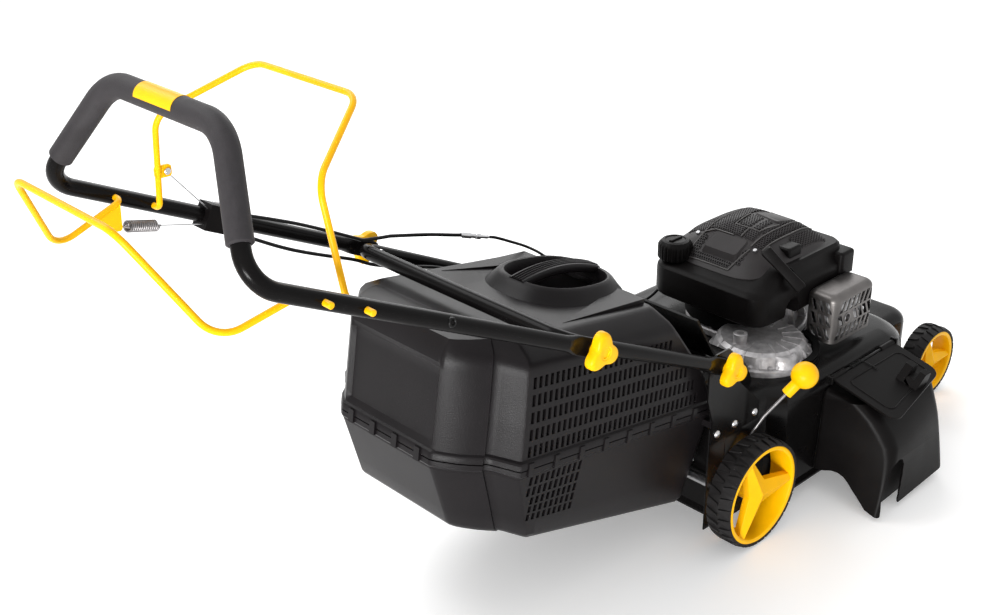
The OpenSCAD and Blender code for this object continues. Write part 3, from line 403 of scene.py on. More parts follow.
def tyre_shape(centre, radius, width, lugs):
    half = width / 2
    base = radius - TREAD_DEPTH
    inner = radius - TYRE_DEPTH
    profile = [(inner, 1 - half), (base - 2, -half), (base, 3 - half)]
    profile += [(r, -y) for r, y in reversed(profile)]
    shapes = [lathe(profile, centre, LEFT, 96, loop=True)]
    pitch = 2 * pi / lugs
    for k in range(lugs):
        for side in (-1, 1):
            turn = (k + 0.25 * side) * pitch
            rings = []
            for grow, depth, shoulder, trim in ((1.12, base - 1, 0, 0), (0.94, radius, 2.2, 0.6)):
                ring = []
                for across, out in LUG_OUTLINE:
                    a = turn + across * grow * pitch
                    r = depth - shoulder if out == 1 else depth
                    ring.append(centre + xyz(r * cos(a), side * out * (half - trim), r * sin(a)))
                rings.append(ring)
            shapes.append(loft(rings))
    return join(*shapes)


def rim_shape(centre, radius, width, side):
    half = width / 2
    out = radius - TYRE_DEPTH - 0.1
    axis = side * LEFT
    ring = [
        (out, 1 - half), (out, half - 1.5), (out - 1.5, half - 0.5), (out - 5, half - 0.5),
        (out - 8, half - 2), (out - 9.5, half - 8), (out - 8.5, 0), (out - 6, 1 - half)
    ]
    hub = rod(centre + axis * (2 - half), centre + axis * (half - 12), 20, 32, 1)
    return join(lathe(ring, centre, axis, 72, loop=True), hub, star_shape(centre, out - 5, half - 2.5, side))


def star_shape(centre, reach, face, side):
    def point(r, turn, height):
        a = radians(turn)
        return centre + xyz(r * cos(a), side * height, r * sin(a))

    outer = []
    for k in range(3):
        turn = STAR_TURN + 120 * k
        outer += [point(reach * 0.3, turn - 60, face - 9), point(reach, turn - 6, face - 5)]
        outer += [point(reach, turn, face), point(reach, turn + 6, face - 5)]
    lower = [p - xyz(0, side * STAR_THICK, 0) for p in outer]
    count = len(outer)
    peak = 2 * count
    faces = [(k, (k + 1) % count, count + (k + 1) % count, count + k) for k in range(count)]
    for tip in range(0, count, 4):
        faces.append((tip, tip + 1, tip + 2, peak))
        faces.append((peak, tip + 2, tip + 3, (tip + 4) % count))
    faces.append(tuple(range(count, peak)))
    return outer + lower + [point(0, 0, face + 1)], faces


def wheels():
    for axle, radius, width, lugs in (("rear", 100, 50, 30), ("front", 76, 44, 24)):
        for name, side in SIDES:
            end = f"{axle}_{name}"
            hub = (middle(f"tyre_{end}") - ORIGIN) / MM
            tread = tyre_shape(hub, radius, width, lugs)
            piece(f"tread_{end}", tread, RUBBER, f"wheel_{end}", [f"tyre_{end}"])
            star = rim_shape(hub, radius, width, side)
            piece(f"star_{end}", star, YELLOW_PLASTIC, f"wheel_{end}", [f"rim_{end}"], bevel=0.8, angle=25)


# Handle: s is a distance up its slope from a pivot
HANDLE_TILT = radians(26.4)
SLOPE = xyz(-cos(HANDLE_TILT), 0, sin(HANDLE_TILT))
HANDLE_UP = xyz(sin(HANDLE_TILT), 0, cos(HANDLE_TILT))
LOWER_PIVOT = xyz(-54, 0, 351)
LOWER_LENGTH = 396
CROSS_S = 434
BEND_S = 612
BRAKE_S = 443
DRIVE_S = 508
UPPER_PIVOT = LOWER_PIVOT + LOWER_LENGTH * SLOPE
BRAKE_PIVOT = UPPER_PIVOT + BRAKE_S * SLOPE
DRIVE_PIVOT = UPPER_PIVOT + DRIVE_S * SLOPE
BEND_POINT = UPPER_PIVOT + BEND_S * SLOPE
GRIP_CORNER = BEND_POINT + xyz(60, 0, 146)
LOWER_HALF = 230
CROSS_HALF = 238
BEND_HALF = 235
GRIP_HALF = 127
UPPER_FLAT_Y = 253.8
LOWER_KNOB_Y = 234.5
UPPER_KNOB_Y = 258.3
TUBE_R = 12
TUBE_START = 64
FLAT_LEN = 46
FLAT_HIGH = 15
FLAT_THICK = 4
FOAM_R = 16.5
GRIP_BEND = 70
WIRE_R = 4.5


def lower_leg_y(s):
    return LOWER_HALF + (CROSS_HALF - LOWER_HALF) * s / CROSS_S


def lower_leg(s, side):
    return LOWER_PIVOT + s * SLOPE + side * lower_leg_y(s) * LEFT


def upper_leg_y(s):
    return UPPER_FLAT_Y + (BEND_HALF - UPPER_FLAT_Y) * (s - FLAT_LEN) / (BEND_S - FLAT_LEN)


def upper_leg(s, side):
    return UPPER_PIVOT + s * SLOPE + side * upper_leg_y(s) * LEFT


def flat_end(pivot, side, leg_y):
    rings = []
    for s in (-22, -21, -19, -15, -7, 10, 34, 42, 50, 58, 66):
        blend = min(max((s - 34) / 32, 0), 1)
        blend = blend * blend * (3 - 2 * blend)
        high = FLAT_HIGH * (1 - blend) + TUBE_R * blend
        thick = FLAT_THICK * (1 - blend) + TUBE_R * blend
        if s < -7:
            high = sqrt(max(FLAT_HIGH ** 2 - (s + 7) ** 2, 0.2))
        power = 0.5 + 0.5 * blend
        ring = []
        for a in turns(24):
            rise = bulge(cos(a), power) * high
            out = bulge(sin(a), power) * thick
            ring.append(pivot + s * SLOPE + rise * HANDLE_UP + (side * leg_y(s) + out) * LEFT)
        rings.append(ring)
    return loft(rings)


def handle_tube(name, body, half, bends, pivot, leg_y):
    bent = tube(fillet(mirrored(half), bends, 10), TUBE_R, 28)
    shape = join(bent, flat_end(pivot, -1, leg_y), flat_end(pivot, 1, leg_y))
    piece(name, shape, BLACK_PAINT, body, [body])


def handles():
    half = [lower_leg(TUBE_START, -1), lower_leg(CROSS_S, -1)]
    handle_tube("lower_tube", "lower_handle", half, 35, LOWER_PIVOT, lower_leg_y)
    half = [upper_leg(TUBE_START, -1), BEND_POINT - BEND_HALF * LEFT, GRIP_CORNER - GRIP_HALF * LEFT]
    bends = [0, 46, GRIP_BEND, GRIP_BEND, 46, 0]
    handle_tube("upper_tube", "upper_handle", half, bends, UPPER_PIVOT, upper_leg_y)
    profile = [(4, 9), (4, 12.6), (4.6, 13.4), (6.4, 13.2), (7, 12), (7, 9)]
    eyelet = lathe(profile, upper_leg(300, -1), HANDLE_UP * 0.3 - LEFT, 24, loop=True)
    piece("rope_eyelet", eyelet, BLACK_STEEL, "upper_handle")


def grip():
    corner = BEND_POINT - BEND_HALF * LEFT
    top = GRIP_CORNER - GRIP_HALF * LEFT
    rise = (top - corner).normalized()
    half = [corner + 48 * rise, corner + 50 * rise, top]
    line = fillet(mirrored(half), [0, 0.5, GRIP_BEND, GRIP_BEND, 0.5, 0], 12)
    foam = tapered_tube(line, FOAM_R, FOAM_R - 2.5, 28)
    sleeve = piece("foam_sleeve", foam, FOAM, "upper_handle", ["handle_grip"])
    arcs = []
    for y in (-40, 44):
        angles = [radians(10 * k - 70) + 0.25 for k in range(15)]
        middle_line = GRIP_CORNER + y * LEFT
        arcs.append([middle_line + (FOAM_R + 0.6) * xyz(-sin(a), 0, cos(a)) for a in angles])
    band = loft(arcs, caps=OPEN, closed=False)
    piece("grip_band", band, YELLOW_PLASTIC, "upper_handle", wall=0.5)


def bail_shape(s, knee, bar):
    pivot = UPPER_PIVOT + s * SLOPE
    y = upper_leg_y(s)
    half = [pivot + Vector(p) for p in ((0, -y - 25, 0), (0, 28 - y, 0), knee, bar)]
    line = fillet(mirrored(half), [0, 14, 42, 38, 38, 42, 14, 0], 10)
    line = [line[0], line[0] + 1.2 * LEFT] + line[1:-1] + [line[-1] - 1.2 * LEFT, line[-1]]
    return tapered_tube(line, WIRE_R, WIRE_R - 1.3, 18)


def bails():
    tab = BRAKE_PIVOT + xyz(0, upper_leg_y(BRAKE_S) - 40, 58)
    plate = [tab + Vector(p) for p in ((-8, -2, -9), (18, -2, -10), (18, -2, 8), (-8, -2, 9))]
    plate = slab(rounded(plate, 5, 4), (0, 4, 0))
    shape = join(bail_shape(BRAKE_S, (-7, -182, 145), (113, -110, 208)), plate)
    piece("brake_wire_bail", shape, YELLOW_PAINT, "brake_bail", ["brake_bail"])
    head, face, back, tip = [tab + xyz(10, y, -1) for y in (-6, -2, 2, 5)]
    screw = join(rod(face, head, 5, 20, 1), rod(back, tip, 4, 6))
    piece("brake_tab_screw", screw, STEEL, "brake_bail")
    arm_y = upper_leg_y(DRIVE_S) - 32.5
    gusset = [DRIVE_PIVOT + xyz(x, arm_y, z) for x, z in ((-4, 1), (-50, -13), (-22, -40), (-6, -42))]
    gusset = slab(rounded(gusset, 4, 4), (0, 3, 0))
    shape = join(bail_shape(DRIVE_S, (-111, -192, -31), (-182, -119, 104)), gusset)
    piece("drive_wire_bail", shape, YELLOW_PAINT, "drive_bail", ["drive_bail"])


# Knobs: scale of the three-lobed outline, height and, where it is round, the radius
KNOB_PROFILE = [
    (0, 0, 13), (0, 4, 13), (0.84, 5, 0), (0.98, 7, 0), (1.0, 9, 0), (1.0, 17, 0), (0.97, 19.5, 0),
    (0.90, 21.5, 0), (0.80, 22.5, 0), (0, 22.5, 11), (0, 21.5, 10), (0, 21.5, 7.5), (0, 20, 7)
]
KNOB_R = 25.5
LOBE = 6.5


def knob_shape(centre, side):
    rings = []
    for scale, height, flat in KNOB_PROFILE:
        ring = []
        for a in turns(72):
            r = flat if flat else scale * (KNOB_R + LOBE * cos(3 * (a - pi / 2)))
            ring.append(centre + xyz(r * cos(a), side * height, -side * r * sin(a)))
        rings.append(ring)
    return loft(rings)


def knobs():
    for name, side in SIDES:
        for level, pivot, y in (("lower", LOWER_PIVOT, LOWER_KNOB_Y), ("upper", UPPER_PIVOT, UPPER_KNOB_Y)):
            end = f"{level}_{name}"
            shape = knob_shape(pivot + side * y * LEFT, side)
            piece(f"lobed_{end}", shape, YELLOW_PLASTIC, f"knob_{end}", [f"knob_{end}"])


# Grass box, in its own tilted axes from the front of its seam
BOX_TILT = radians(9.6)
BOX_FRONT = xyz(-46, 0, 263)
SEAM_REAR = -553
SEAM_HALF = 204
LID_Z = 188
DOME_X = -214
CORNER_LEN = 88
PANEL_HALF = 105
BOX_COLUMNS = [-500] + [x + 12 * k for k in range(37) for x in (-454, -447.5)] + [-5]
REAR_CORNER = [
    (88, 0), (85, 3), (68, 37), (63, 45), (59, 48), (55, 45), (42, 54), (26, 67), (11, 84), (3, 95), (0, 101)
]
# Height, front, rear, half width, rise of the rear end, depth of the rear panel
HOOD_LEVELS = [
    (0, 0, SEAM_REAR, SEAM_HALF, 0, 0), (16, -8, SEAM_REAR, 203.6, 0, 0), (24, -12, SEAM_REAR, 203.4, 0, 6),
    (68, -35, SEAM_REAR, 202, 0, 6), (140, -105, SEAM_REAR, 197, 0, 6), (152, -117, SEAM_REAR, 196, 0, 0),
    (160, -124, -552, 194, 0, 0), (170, -130, -549, 186, 0, 0), (184, -138, -543, 160, 0, 0),
    (187.4, -141, -541, 153, 0, 0), (LID_Z, -145, -536, 147, 0, 0)
]
TRAY_LEVELS = [
    (-188, -44, -480, 166, 56, 0), (-187, -34, -492, 176, 57, 0), (-182, -26, -501, 185, 57, 0),
    (-172, -22, -507, 190, 54, 0), (-70, -6, -533, 198, 10, 0), (-16, 0, SEAM_REAR, SEAM_HALF, 0, 0),
    (-1, 0, SEAM_REAR, SEAM_HALF, 0, 0)
]
ROW_HEIGHT = 18
HOOD_VENTS = (HOOD_LEVELS, [17 + 27 * k for k in range(5)], (-458, -20))
TRAY_VENTS = (TRAY_LEVELS, [23 * k - 128 for k in range(5)], (-446, -325))
DOME_LEVELS = [
    (0, 0), (5, 5), (11, 12), (16, 18), (20, 21.5), (24, 23), (27, 22), (29, 18), (32, 4), (40, -36)
]
LID_STEP = [(-340, 138), (-147, 138), (-147, 76)]


def in_box(x, y, z):
    turn_x = x * cos(BOX_TILT) + z * sin(BOX_TILT)
    turn_z = z * cos(BOX_TILT) - x * sin(BOX_TILT)
    return BOX_FRONT + xyz(turn_x, y, turn_z)


def level_at(levels, height):
    for low, high in zip(levels, levels[1:]):
        if low[0] <= height <= high[0]:
            part = (height - low[0]) / (high[0] - low[0])
            return [a + (b - a) * part for a, b in zip(low, high)]
    return levels[-1]


def box_ring(level):
    height, front, rear, half, rise, recess = level

    def corner(x, y):
        return in_box(x, y, height + rise * (front - x) / (front - rear))

    sides = [min(max(x, rear + CORNER_LEN), front - 10) for x in BOX_COLUMNS]
    tail = []
    for ahead, off in REAR_CORNER:
        y = half - off * (half - PANEL_HALF) / 99 if off < 99 else SEAM_HALF - off
        tail.append((rear + ahead, y))
    tail += [(rear + recess * 0.4, 100), (rear + recess, 96)]
    right = [corner(x, -half) for x in reversed(sides)] + [corner(x, -y) for x, y in tail]
    left = [corner(x, y) for x, y in reversed(tail)] + [corner(x, half) for x in sides]
    nose = [(front - 3, half - 3), (front, half - 10), (front, 10 - half), (front - 3, 3 - half)]
    return right + left + [corner(x, y) for x, y in nose]


def slotted_shell(levels, rows, reach):
    heights = sorted({level[0] for level in levels} | set(rows) | {r + ROW_HEIGHT for r in rows})
    rings = [box_ring(level_at(levels, h)) for h in heights]
    columns = len(BOX_COLUMNS)
    left_start = len(rings[0]) - 4 - columns
    cells = {}
    for row in rows:
        front = level_at(levels, row + ROW_HEIGHT)[1]
        rear = level_at(levels, row)[2]
        for c in range(1, columns - 1, 2):
            behind = BOX_COLUMNS[c] < max(reach[0], rear + CORNER_LEN)
            if behind or BOX_COLUMNS[c + 1] > min(reach[1], front - 26):
                continue
            for i in range(heights.index(row), heights.index(row + ROW_HEIGHT)):
                cells[(i, columns - 2 - c)] = -1
                cells[(i, left_start + c)] = 1
    shapes = []
    for (i, k), side in cells.items():
        outer = [rings[i][k], rings[i][k + 1], rings[i + 1][k + 1], rings[i + 1][k]]
        shapes.append(loft([outer, [p - 4 * side * LEFT for p in outer]], caps=OPEN))
    mouth = len(rings[0]) - 3

    def is_open(i, k):
        return (i, k) in cells or (k == mouth and -150 < heights[i] < 16)

    return join(loft(rings, caps=OPEN, skip=is_open), *shapes), rings


# Painted shade: dark sheets just inside the slotted side walls, so the vent slots read dark instead of
# showing light through the box
def slot_shade_sheets(levels, rows, reach):
    sheets = []
    for side in (-1, 1):
        lines = []
        for row in (rows[0] - 4, *rows, rows[-1] + ROW_HEIGHT + 4):
            _, front, rear, half, rise, _ = level_at(levels, row)
            ends = (max(reach[0] - 4, rear + CORNER_LEN + 5), min(reach[1], front - 22))
            slope = rise / (front - rear)
            lines.append([in_box(x, side * (half - 9), row + slope * (front - x)) for x in ends])
        sheets.append(loft(lines, caps=OPEN, closed=False))
    return join(*sheets)


def dome_ring(inset, height):
    ring = []
    for a in turns(64):
        x = DOME_X + (112 - inset) * bulge(cos(a), 0.8)
        ring.append(in_box(x, (102 - inset) * bulge(sin(a), 0.8), LID_Z + height))
    return ring


def box_section(x, y, z, edge):
    outline = [(0, y[0], z[0]), (0, y[1], z[0]), (0, y[1], z[1]), (0, y[0], z[1])]
    return [in_box(x, p.y, p.z) for p in rounded(outline, edge, 3)]


def box_clip(x, y):
    return loft([box_section(end, y, (-11, 11), 1.5) for end in x])


def dome_bar():
    rings = []
    ridges = []
    for k in range(17):
        way = k / 8 - 1
        x = DOME_X + 92 * way
        top = LID_Z + 38 - 14 * way * way
        rings.append(box_section(x, (-17, 17), (top - 16, top), 5))
        ridges.append((x, top + 0.4))
    lines = [tube([in_box(x, y, z) for x, z in ridges], 1.6, 8) for y in (-9, -3, 3, 9)]
    return join(loft(rings), *lines)


def lid_crease(side):
    base = [in_box(x, side * y, LID_Z - 2) for x, y in LID_STEP]
    top = [in_box(x, side * y, LID_Z + 0.5 + (x + 340) / 24) for x, y in LID_STEP]
    return loft([base, top])


def seam_band(offsets):
    rings = [box_ring((height, 0, SEAM_REAR - out, SEAM_HALF + out, 0, 0)) for height, out in offsets]
    return loft(rings, caps=OPEN)


def seam_clips():
    clips = []
    for y in ((-211, -205), (205, 211)):
        for k in range(8):
            x = -58 - 56 * k
            clips.append(box_clip((x - 5, x + 5), y))
    clips += [box_clip((-561, -556), (y - 6, y + 6)) for y in (-78, -26, 26, 78)]
    return join(*clips)


def grass_box():
    hood, rings = slotted_shell(*HOOD_VENTS)
    dome = loft([dome_ring(inset, height) for inset, height in DOME_LEVELS], caps=TOPPED)
    rim = dome_ring(0, 0)
    lid = (rings[-1] + rim, [tuple(face) for face in tessellate_polygon([rings[-1], rim])])
    band = seam_band([(1, -2), (1, 5), (9, 5), (12, 3.5), (15, -1)])
    shape = join(hood, lid, dome, band, dome_bar(), lid_crease(-1), lid_crease(1))
    piece("hood_shell", shape, BOX_PLASTIC, "grass_box", ["box_hood"], angle=28)
    # Painted shade sheets behind the vent slots of the hood and the tray
    shade_sheets = join(slot_shade_sheets(*HOOD_VENTS), slot_shade_sheets(*TRAY_VENTS))
    piece("slot_shade_sheets", shade_sheets, DARK_PLASTIC_AND_SHADE, "grass_box", wall=1)
    tray, rings = slotted_shell(*TRAY_VENTS)
    underside = (rings[0], [tuple(range(len(rings[0])))])
    band = seam_band([(-1.2, -2), (-1.2, 4.5), (-9, 4.5), (-12, 2.5), (-14, -1)])
    lugs = [block((-71, 198 * side, 235.4), (-47, 221 * side, 247)) for side in (-1, 1)]
    shape = join(tray, underside, band, seam_clips(), *lugs)
    piece("tray_shell", shape, BOX_PLASTIC, "grass_box", ["box_tray"], angle=28)


# Deck
DECK_TOP = 235
DECK_REAR = -30
DECK_FRONT = 572
DECK_HALF = 250
DECK_CORNER = 110
REAR_HALF = 222
DECK_LEVELS = [(-6, 30), (-6, 34), (0, 42), (0, 190), (2, 206), (7, 218), (15, 227), (26, 232.5)]
HUMP_FOOT = 226
HUMP_STEPS = [(DECK_REAR, 1), (70, 1), (86, 0.95), (100, 0.75), (110, 0.4), (114, 0.1)]
ENGINE_X = 320
RIVET = [(7, 0), (6.7, 1.5), (5.2, 3.2), (2.8, 4.2), (0, 4.5)]
RIVET_Z = 221


def deck_ring(inset, z):
    half = REAR_HALF - inset
    right = [(DECK_REAR + inset, -half), (90 + inset, -half), (114 + inset, inset - DECK_HALF)]
    for k in range(13):
        a = radians(7.5 * k - 90)
        bend = DECK_CORNER - inset
        right.append((DECK_FRONT - DECK_CORNER + bend * cos(a), DECK_CORNER - DECK_HALF + bend * sin(a)))
    outline = right + [(x, -y) for x, y in reversed(right)]
    return [(x, y, z - 0.2 * max(x - 440, 0) * z / DECK_TOP) for x, y in outline]


def deck():
    body = loft([deck_ring(inset, z) for inset, z in DECK_LEVELS + [(42, DECK_TOP)]], caps=TOPPED)
    openings = join(block((-60, -158, 124), (84, 158, 280)), block((236, -270, 62), (440, -236, 196)))
    piece("deck_body", body, DECK_PAINT, "chassis", ["deck_shell"], wall=3, cuts=openings, angle=30)
    arch = fillet([(0, -168, HUMP_FOOT), (0, -168, 297), (0, 168, 297), (0, 168, HUMP_FOOT)], 22, 6)
    rings = [[(x, p.y, HUMP_FOOT + (p.z - HUMP_FOOT) * scale) for p in arch] for x, scale in HUMP_STEPS]
    hump = loft(rings, caps=TOPPED, closed=False)
    piece("discharge_hump", hump, DECK_PAINT, wall=3, angle=30)
    shapes = [soft_block((540, 703), (-150, 150), (60, 170), 40, 24)]
    for side in (-1, 1):
        shapes.append(block((-75, 219 * side, 30), (-27, 222 * side, DECK_TOP)))
        shapes.append(block((14, 162 * side, 289), (30, 168 * side, 313)))
        end = FLAP_HINGE.x + side * 107.5
        shapes.append(block((end - 3, -264, 218), (end + 3, -249, 234)))
    piece("deck_shelf", join(*shapes), DECK_PAINT, bevel=2)


def fasteners():
    shapes = []
    for side in (-1, 1):
        for x in (-58, -9, 48):
            shapes.append(lathe(RIVET, (x, side * 225, RIVET_Z), side * LEFT, 24))
            shapes.append(rod((x, side * 219, RIVET_Z), (x, side * 217, RIVET_Z), 5.5))
    for turn in (60, 180, 300):
        x = ENGINE_X + 106 * cos(radians(turn))
        y = 106 * sin(radians(turn))
        shapes.append(rod((x, y, 226), (x, y, 232), 7, 6))
        shapes.append(rod((x, y, 230), (x, y, 248), 4))
    piece("rivets", join(*shapes), STEEL, "chassis", ["deck_fasteners"])


# Side chute
CHUTE_OUT = -402
CHUTE_NEAR = -250.6
CHUTE_FOOT = [(197, CHUTE_OUT), (432, CHUTE_OUT), (440, CHUTE_NEAR), (212, CHUTE_NEAR)]
CHUTE_ROOF = [(226, -322), (450, -352), (440, CHUTE_NEAR), (222, CHUTE_NEAR)]
CHUTE_RIDGE = [
    (197, CHUTE_OUT, 8), (208, -403, 45), (224, CHUTE_OUT, 90),
    (237, -396, 128), (234, -362, 172), (226, -326, 200)
]
CHUTE_ARCH = [
    (194, -20), (197, 40), (204, 66), (217, 92), (232, 104), (248, 106),
    (260, 100), (266, 88), (263, 60), (256, 20), (256, -20)
]
CHUTE_HOLLOW = [
    (-386, -20), (-383, 7), (-350, 31), (-330, 46), (-317, 54),
    (-304, 57), (-290, 55), (-272, 48), (-240, 40), (-240, -20)
]
CHUTE_RIB = [(205, 15), (213, 45), (228, 90), (238, 116), (300, 120), (300, 20)]
CORNER_STEPS = 6


def chute_ring(part, inset, ridge):
    ring = []
    for (fx, fy), (rx, ry) in zip(CHUTE_FOOT, CHUTE_ROOF):
        low = 8 + 0.06 * (fx - 197) + 0.2 * (fy - CHUTE_OUT)
        high = 205 + 0.14 * (ry + 250)
        x = fx + (rx - fx) * part + inset * (0.7 if fx < 300 else -0.7)
        y = fy + (ry - fy) * part
        if fy == CHUTE_OUT:
            y += inset - 10 * part * (1 - part)
        ring.append((x, y, low + (high - low) * part))
    if ridge:
        ring[0] = ridge
    soft = 8 + 22 * min(1, part * part * 2)
    return rounded(ring, [soft, 26, 6, 6], CORNER_STEPS)


def chute():
    rings = [chute_ring(k / 10, 0, corner) for k, corner in enumerate(curve(CHUTE_RIDGE, 2)[:10])]
    for step in range(1, 6):
        turn = step / 5 * pi / 2
        ridge = CHUTE_RIDGE[-1] if step == 1 else None
        rings.append(chute_ring(0.9 + 0.1 * sin(turn), 16 * (1 - cos(turn)), ridge))
    near = 3 * (CORNER_STEPS + 1) - 1
    shell = loft(rings, caps=TOPPED, skip=lambda i, k: k == near)
    arch = slab([(x, -430, z) for x, z in CHUTE_ARCH], (24, 60, 0))
    hollow = slab([(180, y, z) for y, z in CHUTE_HOLLOW], (56, 0, 0))
    cuts = join(arch, hollow)
    piece("chute_shell", shell, SMOOTH_PLASTIC, "side_chute", ["side_chute"], wall=4, cuts=cuts, angle=40)
    rib = slab([(x, -384, z) for x, z in CHUTE_RIB], (0, 3, 0))
    piece("chute_rib", rib, SMOOTH_PLASTIC, "side_chute")


# Side flap
FLAP_HINGE = xyz(338, -257, 226)
FLAP_TILT = radians(14)
FLAP_HALF = 102.5
FLAP_EDGE = [(-FLAP_HALF, 4.5, 0), (FLAP_HALF, 4.5, 0), (FLAP_HALF, 106, 0), (-FLAP_HALF, 143, 0)]
FLAP_LINE = [(-84, 24, 0), (84, 24, 0), (84, 92, 0), (-84, 120, 0)]


def on_flap(along, out, up):
    y = -out * cos(FLAP_TILT) - up * sin(FLAP_TILT)
    z = -out * sin(FLAP_TILT) + up * cos(FLAP_TILT)
    return FLAP_HINGE + xyz(along, y, z)


def flap_clip(out, top):
    outline = [(7, 1), (9, 5), (8 + 0.6 * top, top), (42, top), (46, top - 4), (46, 1)]
    return loft([[on_flap(along, side, up) for along, up in outline] for side in out])


def side_flap():
    edge = rounded(FLAP_EDGE, [4, 4, 26, 20], 6)
    shapes = [loft([[on_flap(p.x, p.y, height) for p in edge] for height in (-2, 2)])]
    line = [on_flap(p.x, p.y, 2) for p in rounded(FLAP_LINE, 14, 6)]
    shapes.append(tube(line + line[:1], 1.6, 8))
    for start in (-101.5, 59.5):
        ends = [FLAP_HINGE + xyz(x, 0, 0) for x in (start, start + 42)]
        shapes.append(rod(*ends, 6, 24, 0.8))
    shapes += [flap_clip((68, 84), 30), flap_clip((84, 99), 14), flap_clip((99, 112), 30)]
    piece("flap_plate", join(*shapes), SMOOTH_PLASTIC, "side_flap", ["side_flap"], bevel=0.8)
    path = [FLAP_HINGE + xyz(-44, 8, -16), FLAP_HINGE + xyz(-43, 6, -2)]
    for k in range(97):
        a = 2 * pi * k / 16
        path.append(FLAP_HINGE + xyz(k * 0.36 - 42, 5 * cos(a), 5 * sin(a)))
    path += [on_flap(-5, 8, 4), on_flap(-3, 34, 4)]
    piece("flap_spring", tube(path, 1.1, 8), BLACK_STEEL, "side_flap")


# Height lever
LEVER_ROUTE = points([(-44, -234.7, 116), (30, -235, 190), (47, -246, 222), (94, -278, 284)])
LEVER_R = 2.8
BALL_R = 24


def lever():
    bent = tube(fillet(LEVER_ROUTE, [0, 20, 18, 0], 8), LEVER_R, 20)
    piece("lever_rod", bent, DULL_STEEL, "rear_axle", ["height_lever"])
    end = LEVER_ROUTE[-1]
    ahead = (end - LEVER_ROUTE[-2]).normalized()
    profile = [(4.2, -46), (9, -46), (10, -45), (10, -22)]
    profile += [(BALL_R * sin(radians(t)), -BALL_R * cos(radians(t))) for t in range(25, 181, 12)]
    ball = lathe(profile, end + 16 * ahead, ahead, 40)
    piece("lever_knob", ball, YELLOW_PLASTIC, "rear_axle", ["lever_ball"])


# Control cables
CLAMP = upper_leg(336, 1)
SHEATH_R = 3
DRIVE_RISE = 17
BRAKE_RISE = -18
DRIVE_ROUTE = points([(-400, 206, 562), (-340, 184, 553), (-290, 168, 542), (-278, 164, 540)])
GEAR_ROUTE = points([
    (-230, 149, 526), (-218, 146, 522), (-190, 142, 508), (-140, 150, 480), (-80, 172, 440),
    (-20, 190, 390), (30, 198, 330), (52, 200, 280), (54, 200, 234)
])
BRAKE_ROUTE = points([
    (-380, 213, 497), (-300, 211, 472), (-200, 211, 424), (-110, 212, 384), (-40, 208, 366), (40, 196, 346),
    (96, 186, 302), (150, 177, 262), (210, 167, 252), (255, 159, 276), (292.6, 156, 308)
])
ADJUSTER = [
    (3.6, -4), (4.6, -2), (5.5, 0), (5.5, 15), (4.2, 16), (4.2, 24),
    (5.5, 25), (5.5, 33), (3.4, 34), (3.4, 47), (2.6, 50)
]


def split_point(s, y, rise):
    return UPPER_PIVOT + s * SLOPE + rise * HANDLE_UP + y * LEFT


def sheath(stations, steps=8, radius=SHEATH_R):
    return tube(curve(stations, steps), radius, 14)


def cables():
    sheaths = []
    for side, rise, bow in ((1, DRIVE_RISE, 5), (-1, BRAKE_RISE, -7)):
        start = CLAMP - 12 * SLOPE + side * 12 * HANDLE_UP - 17 * LEFT
        end = split_point(60, 222, rise)
        mid = (start + end) / 2 + bow * HANDLE_UP - 3 * LEFT
        sheaths.append(sheath([start, mid, end], 12))
    piece("handle_sheaths", join(*sheaths), SHEATH, "upper_handle", ["handle_cables"])
    drive = [split_point(60, 222, DRIVE_RISE), split_point(44, 221, 18), DRIVE_ROUTE[0]]
    brake = [split_point(60, 222, BRAKE_RISE), split_point(44, 221, BRAKE_RISE)]
    brake += [split_point(15, 218, -19), BRAKE_ROUTE[0]]
    upper = join(sheath(drive), sheath(brake))
    bending("fold_sheaths", upper, SHEATH, ["lower_cables"])
    lower = join(sheath(DRIVE_ROUTE), sheath(GEAR_ROUTE, radius=2.6), sheath(BRAKE_ROUTE))
    bending("sink_sheaths", lower, SHEATH, ["lower_cables"])
    barrel = lathe(ADJUSTER, DRIVE_ROUTE[-1], GEAR_ROUTE[0] - DRIVE_ROUTE[-1], 24)
    bending("barrel_adjuster", barrel, STEEL, ["cable_adjuster"])


# Wires from the bails to the clamp
INNER_R = 1
COIL_TURNS = 14
COIL_STEPS = 12
COIL_R = 7.5
COIL_LENGTH = 52


def control_wires():
    tab = BRAKE_PIVOT + xyz(10, upper_leg_y(BRAKE_S) - 37, 57)
    seat = CLAMP + 16 * SLOPE - 13 * LEFT
    brake_end = seat + 12 * HANDLE_UP
    drive_end = seat - 12 * HANDLE_UP
    wire = rod(tab, brake_end, INNER_R, 10)
    bending("brake_inner_wire", wire, STEEL, ["brake_wire"])
    hook = DRIVE_PIVOT + xyz(-7, upper_leg_y(DRIVE_S) - 31, -36)
    way = (drive_end - hook).normalized()
    side = way.cross(UP).normalized()
    over = side.cross(way)
    path = [hook, hook + 3 * way]
    count = COIL_TURNS * COIL_STEPS
    for k in range(count + 1):
        a = 2 * pi * k / COIL_STEPS
        path.append(hook + (9 + COIL_LENGTH * k / count) * way + COIL_R * (cos(a) * side + sin(a) * over))
    path += [hook + 66 * way, hook + 70 * way]
    bending("pull_spring", tube(path, 1.5, 8), DULL_STEEL, ["drive_spring"])
    wire = rod(hook + 69 * way, drive_end, INNER_R, 10)
    bending("drive_inner_wire", wire, STEEL, ["drive_wire"])
    screw = lathe([(6, 0), (6, 2.5), (4.5, 4), (0, 4.4)], CLAMP + 20 * HANDLE_UP - 6 * LEFT, HANDLE_UP, 24)
    piece("clamp_screw", screw, STEEL, "upper_handle")


